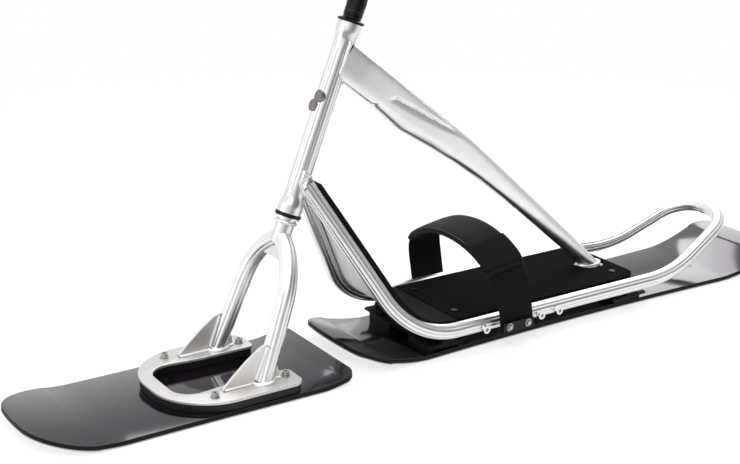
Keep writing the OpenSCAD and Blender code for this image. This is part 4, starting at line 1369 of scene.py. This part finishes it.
class Studio:
    """A pale floor, soft lamps and a camera at the photograph's viewing angle.

    The walls are what metal shows of the room at each turn in degrees about Z, +X being 0 and +Y 90.
    """

    walls = ((-180, 0.75), (-140, 0.5), (-112, 1.0), (-60, 1.0), (30, 1.0), (60, 0.7), (85, 0.3), (125, 0.15),
             (160, 0.5), (180, 0.75))

    place = Vector((1.5153, 2.0364, 1.0620))
    ahead = Vector((-0.5275, -0.7859, -0.3225))
    right = Vector((-0.8303, 0.5573, 0.0))
    roll = math.radians(0.65)
    lens = 69.43
    dusk_from = 0.8

    def camera(self) -> None:
        """Sets the camera."""
        ahead = self.ahead.normalized()
        right = self.right.normalized()
        up = right.cross(ahead)
        across = right * math.cos(self.roll) + up * math.sin(self.roll)
        upright = up * math.cos(self.roll) - right * math.sin(self.roll)
        data = bpy.data.cameras.new("camera")
        data.sensor_fit = "HORIZONTAL"
        data.sensor_width = 36
        data.lens = self.lens
        data.clip_end = 60
        camera = bpy.data.objects.new("camera", data)
        turn = Matrix((across, upright, -ahead)).transposed().to_4x4()
        camera.matrix_world = Matrix.Translation(self.place) @ turn
        bpy.context.scene.collection.objects.link(camera)
        bpy.context.scene.camera = camera

    def floor(self) -> None:
        """Lays the floor, white to the camera and to reflections, with the object's shadow."""
        bm = bmesh.new()
        bmesh.ops.create_grid(bm, x_segments=1, y_segments=1, size=30)
        mesh = bpy.data.meshes.new("floor")
        bm.to_mesh(mesh)
        bm.free()
        made = bpy.data.materials.new("Studio_paper")
        tree = blank_tree(made)
        place = add_node(tree, "TexCoord").outputs["Object"]
        away = add_node(tree, "VectorMath", {0: place}, operation="LENGTH").outputs["Value"]
        far = add_node(tree, "MapRange", {"Value": away, "From Min": 1.0, "From Max": 2.4},
                       interpolation_type="SMOOTHSTEP").outputs[0]
        paper = add_node(tree, "BsdfDiffuse", {"Color": linear("#f2f2f2")}).outputs[0]
        shade = add_node(tree, "BsdfDiffuse", {"Color": (0.34, 0.34, 0.34, 1)}).outputs[0]
        glow = add_node(tree, "Emission", {"Strength": 0.7}).outputs[0]
        white = add_node(tree, "Emission", {"Strength": 1.0}).outputs[0]
        near = add_node(tree, "AddShader", {0: shade, 1: glow}).outputs[0]
        shown = add_node(tree, "MixShader", {0: far, 1: near, 2: white}).outputs[0]
        # Behind the camera the floor darkens in reflections alone
        toward = add_node(tree, "VectorMath", {0: place, 1: (0.547, 0.837, 0)},
                          operation="DOT_PRODUCT").outputs["Value"]
        tone = add_node(tree, "MapRange", {"Value": toward, "From Min": self.dusk_from, "From Max": 1.9,
                                           "To Min": 1.0, "To Max": 0.3}, interpolation_type="SMOOTHSTEP")
        dusk = add_node(tree, "Emission", {"Color": linear("#ffffff"), "Strength": tone.outputs[0]}).outputs[0]
        gloss = add_node(tree, "LightPath").outputs["Is Glossy Ray"]
        behind = operate(tree, "MULTIPLY", gloss, operate(tree, "GREATER_THAN", toward, self.dusk_from))
        shown = add_node(tree, "MixShader", {0: behind, 1: shown, 2: dusk}).outputs[0]
        mixed = add_node(tree, "MixShader", {0: seen_rays(tree), 1: paper, 2: shown})
        add_node(tree, "OutputMaterial", {"Surface": mixed.outputs[0]})
        mesh.materials.append(made)
        floor = bpy.data.objects.new("floor", mesh)
        floor.location.z = -0.0005
        bpy.context.scene.collection.objects.link(floor)

    def world(self) -> None:
        """A white surround to the camera and to reflections, and a softer grey as light."""
        world = bpy.data.worlds.new("studio")
        bpy.context.scene.world = world
        tree = blank_tree(world)
        split = add_node(tree, "SeparateXYZ", {0: add_node(tree, "TexCoord").outputs["Generated"]})
        turn = operate(tree, "ARCTAN2", split.outputs["Y"], split.outputs["X"])
        share = add_node(tree, "MapRange", {"Value": turn, "From Min": -math.pi, "From Max": math.pi})
        walls = self.ramp(tree, share.outputs[0], self.walls)
        height = add_node(tree, "MapRange", {"Value": split.outputs["Z"], "From Min": 0.55, "From Max": 0.8},
                          interpolation_type="SMOOTHSTEP")
        room = add_node(tree, "Mix", {"Factor": height.outputs[0], 6: walls, 7: linear("#fbfbfb")},
                        data_type="RGBA").outputs[2]
        gloss_ray = add_node(tree, "LightPath").outputs["Is Glossy Ray"]
        light, gloss, white = (add_node(tree, "Background", {"Color": colour, "Strength": strength}).outputs[0]
                               for colour, strength in ((linear("#ffffff"), 0.55), (room, 1.0),
                                                        (linear("#ffffff"), 1.0)))
        shown = add_node(tree, "MixShader", {0: gloss_ray, 1: white, 2: gloss}).outputs[0]
        mix = add_node(tree, "MixShader", {0: seen_rays(tree), 1: light, 2: shown})
        add_node(tree, "OutputWorld", {"Surface": mix.outputs[0]})

    def ramp(self, tree: bpy.types.NodeTree, value: bpy.types.NodeSocket,
             stops: Sequence[tuple[float, float]]) -> bpy.types.NodeSocket:
        """Adds a grey ramp from turns in degrees, from behind round the front, to brightness."""
        node = add_node(tree, "ValToRGB", {"Fac": value})
        marks = node.color_ramp.elements
        for (angle, grey), mark in zip(stops, [marks[0], marks[1]] + [marks.new(1.0) for _ in stops[2:]]):
            mark.position = (angle + 180) / 360
            mark.color = (grey, grey, grey, 1)
        return node.outputs["Color"]

    def lamp(self, name: str, place: Vector, target: Vector, size: float, watts: float) -> None:
        """Adds a soft lamp.

        Args:
            name: The lamp's name.
            place: Where it stands.
            target: Where it points.
            size: Its side in metres.
            watts: Its power.
        """
        data = bpy.data.lights.new(name, "AREA")
        data.shape = "SQUARE"
        data.size = size
        data.energy = watts
        lamp = bpy.data.objects.new(name, data)
        turn = (target - place).to_track_quat("-Z", "Y").to_matrix().to_4x4()
        lamp.matrix_world = Matrix.Translation(place) @ turn
        bpy.context.scene.collection.objects.link(lamp)

    def build(self) -> None:
        """Sets up the whole studio."""
        self.camera()
        self.floor()
        self.world()
        self.lamp("key", Vector((1.6, 1.4, 2.6)), Vector((0, 0, 0.2)), 1.6, 42)
        self.lamp("top", Vector((-0.6, -0.6, 3.0)), Vector((0, 0, 0.1)), 2.4, 48)
        self.lamp("back", Vector((-2.4, -1.6, 1.8)), Vector((-0.2, 0, 0.3)), 1.4, 22)
        self.lamp("front", Vector((2.4, -0.3, 0.7)), Vector((0.1, 0, 0.2)), 1.4, 6)
        bpy.context.scene.view_settings.view_transform = "Standard"


def main() -> None:
    """Builds every sub-assembly in order."""
    logging.basicConfig(level=logging.INFO, format="%(name)s: %(message)s")
    Studio().build()
    Board("front_board", "steering", 256, 840, 256, 250, 14, 70, 26, 150, 26, 84, 22).build()
    Board("rear_board", "frame", -840, 240, 240, 204, 42, 170, 36, 153.3, 40, 50, 16).build()
    Fork().build()
    HeadTube().build()
    rails = Rails()
    rails.build()
    TopTube().build()
    Deck(rails.front_track).build()
    FootStrap().build()
    Cockpit().build()


if __name__ == "__main__":
    main()
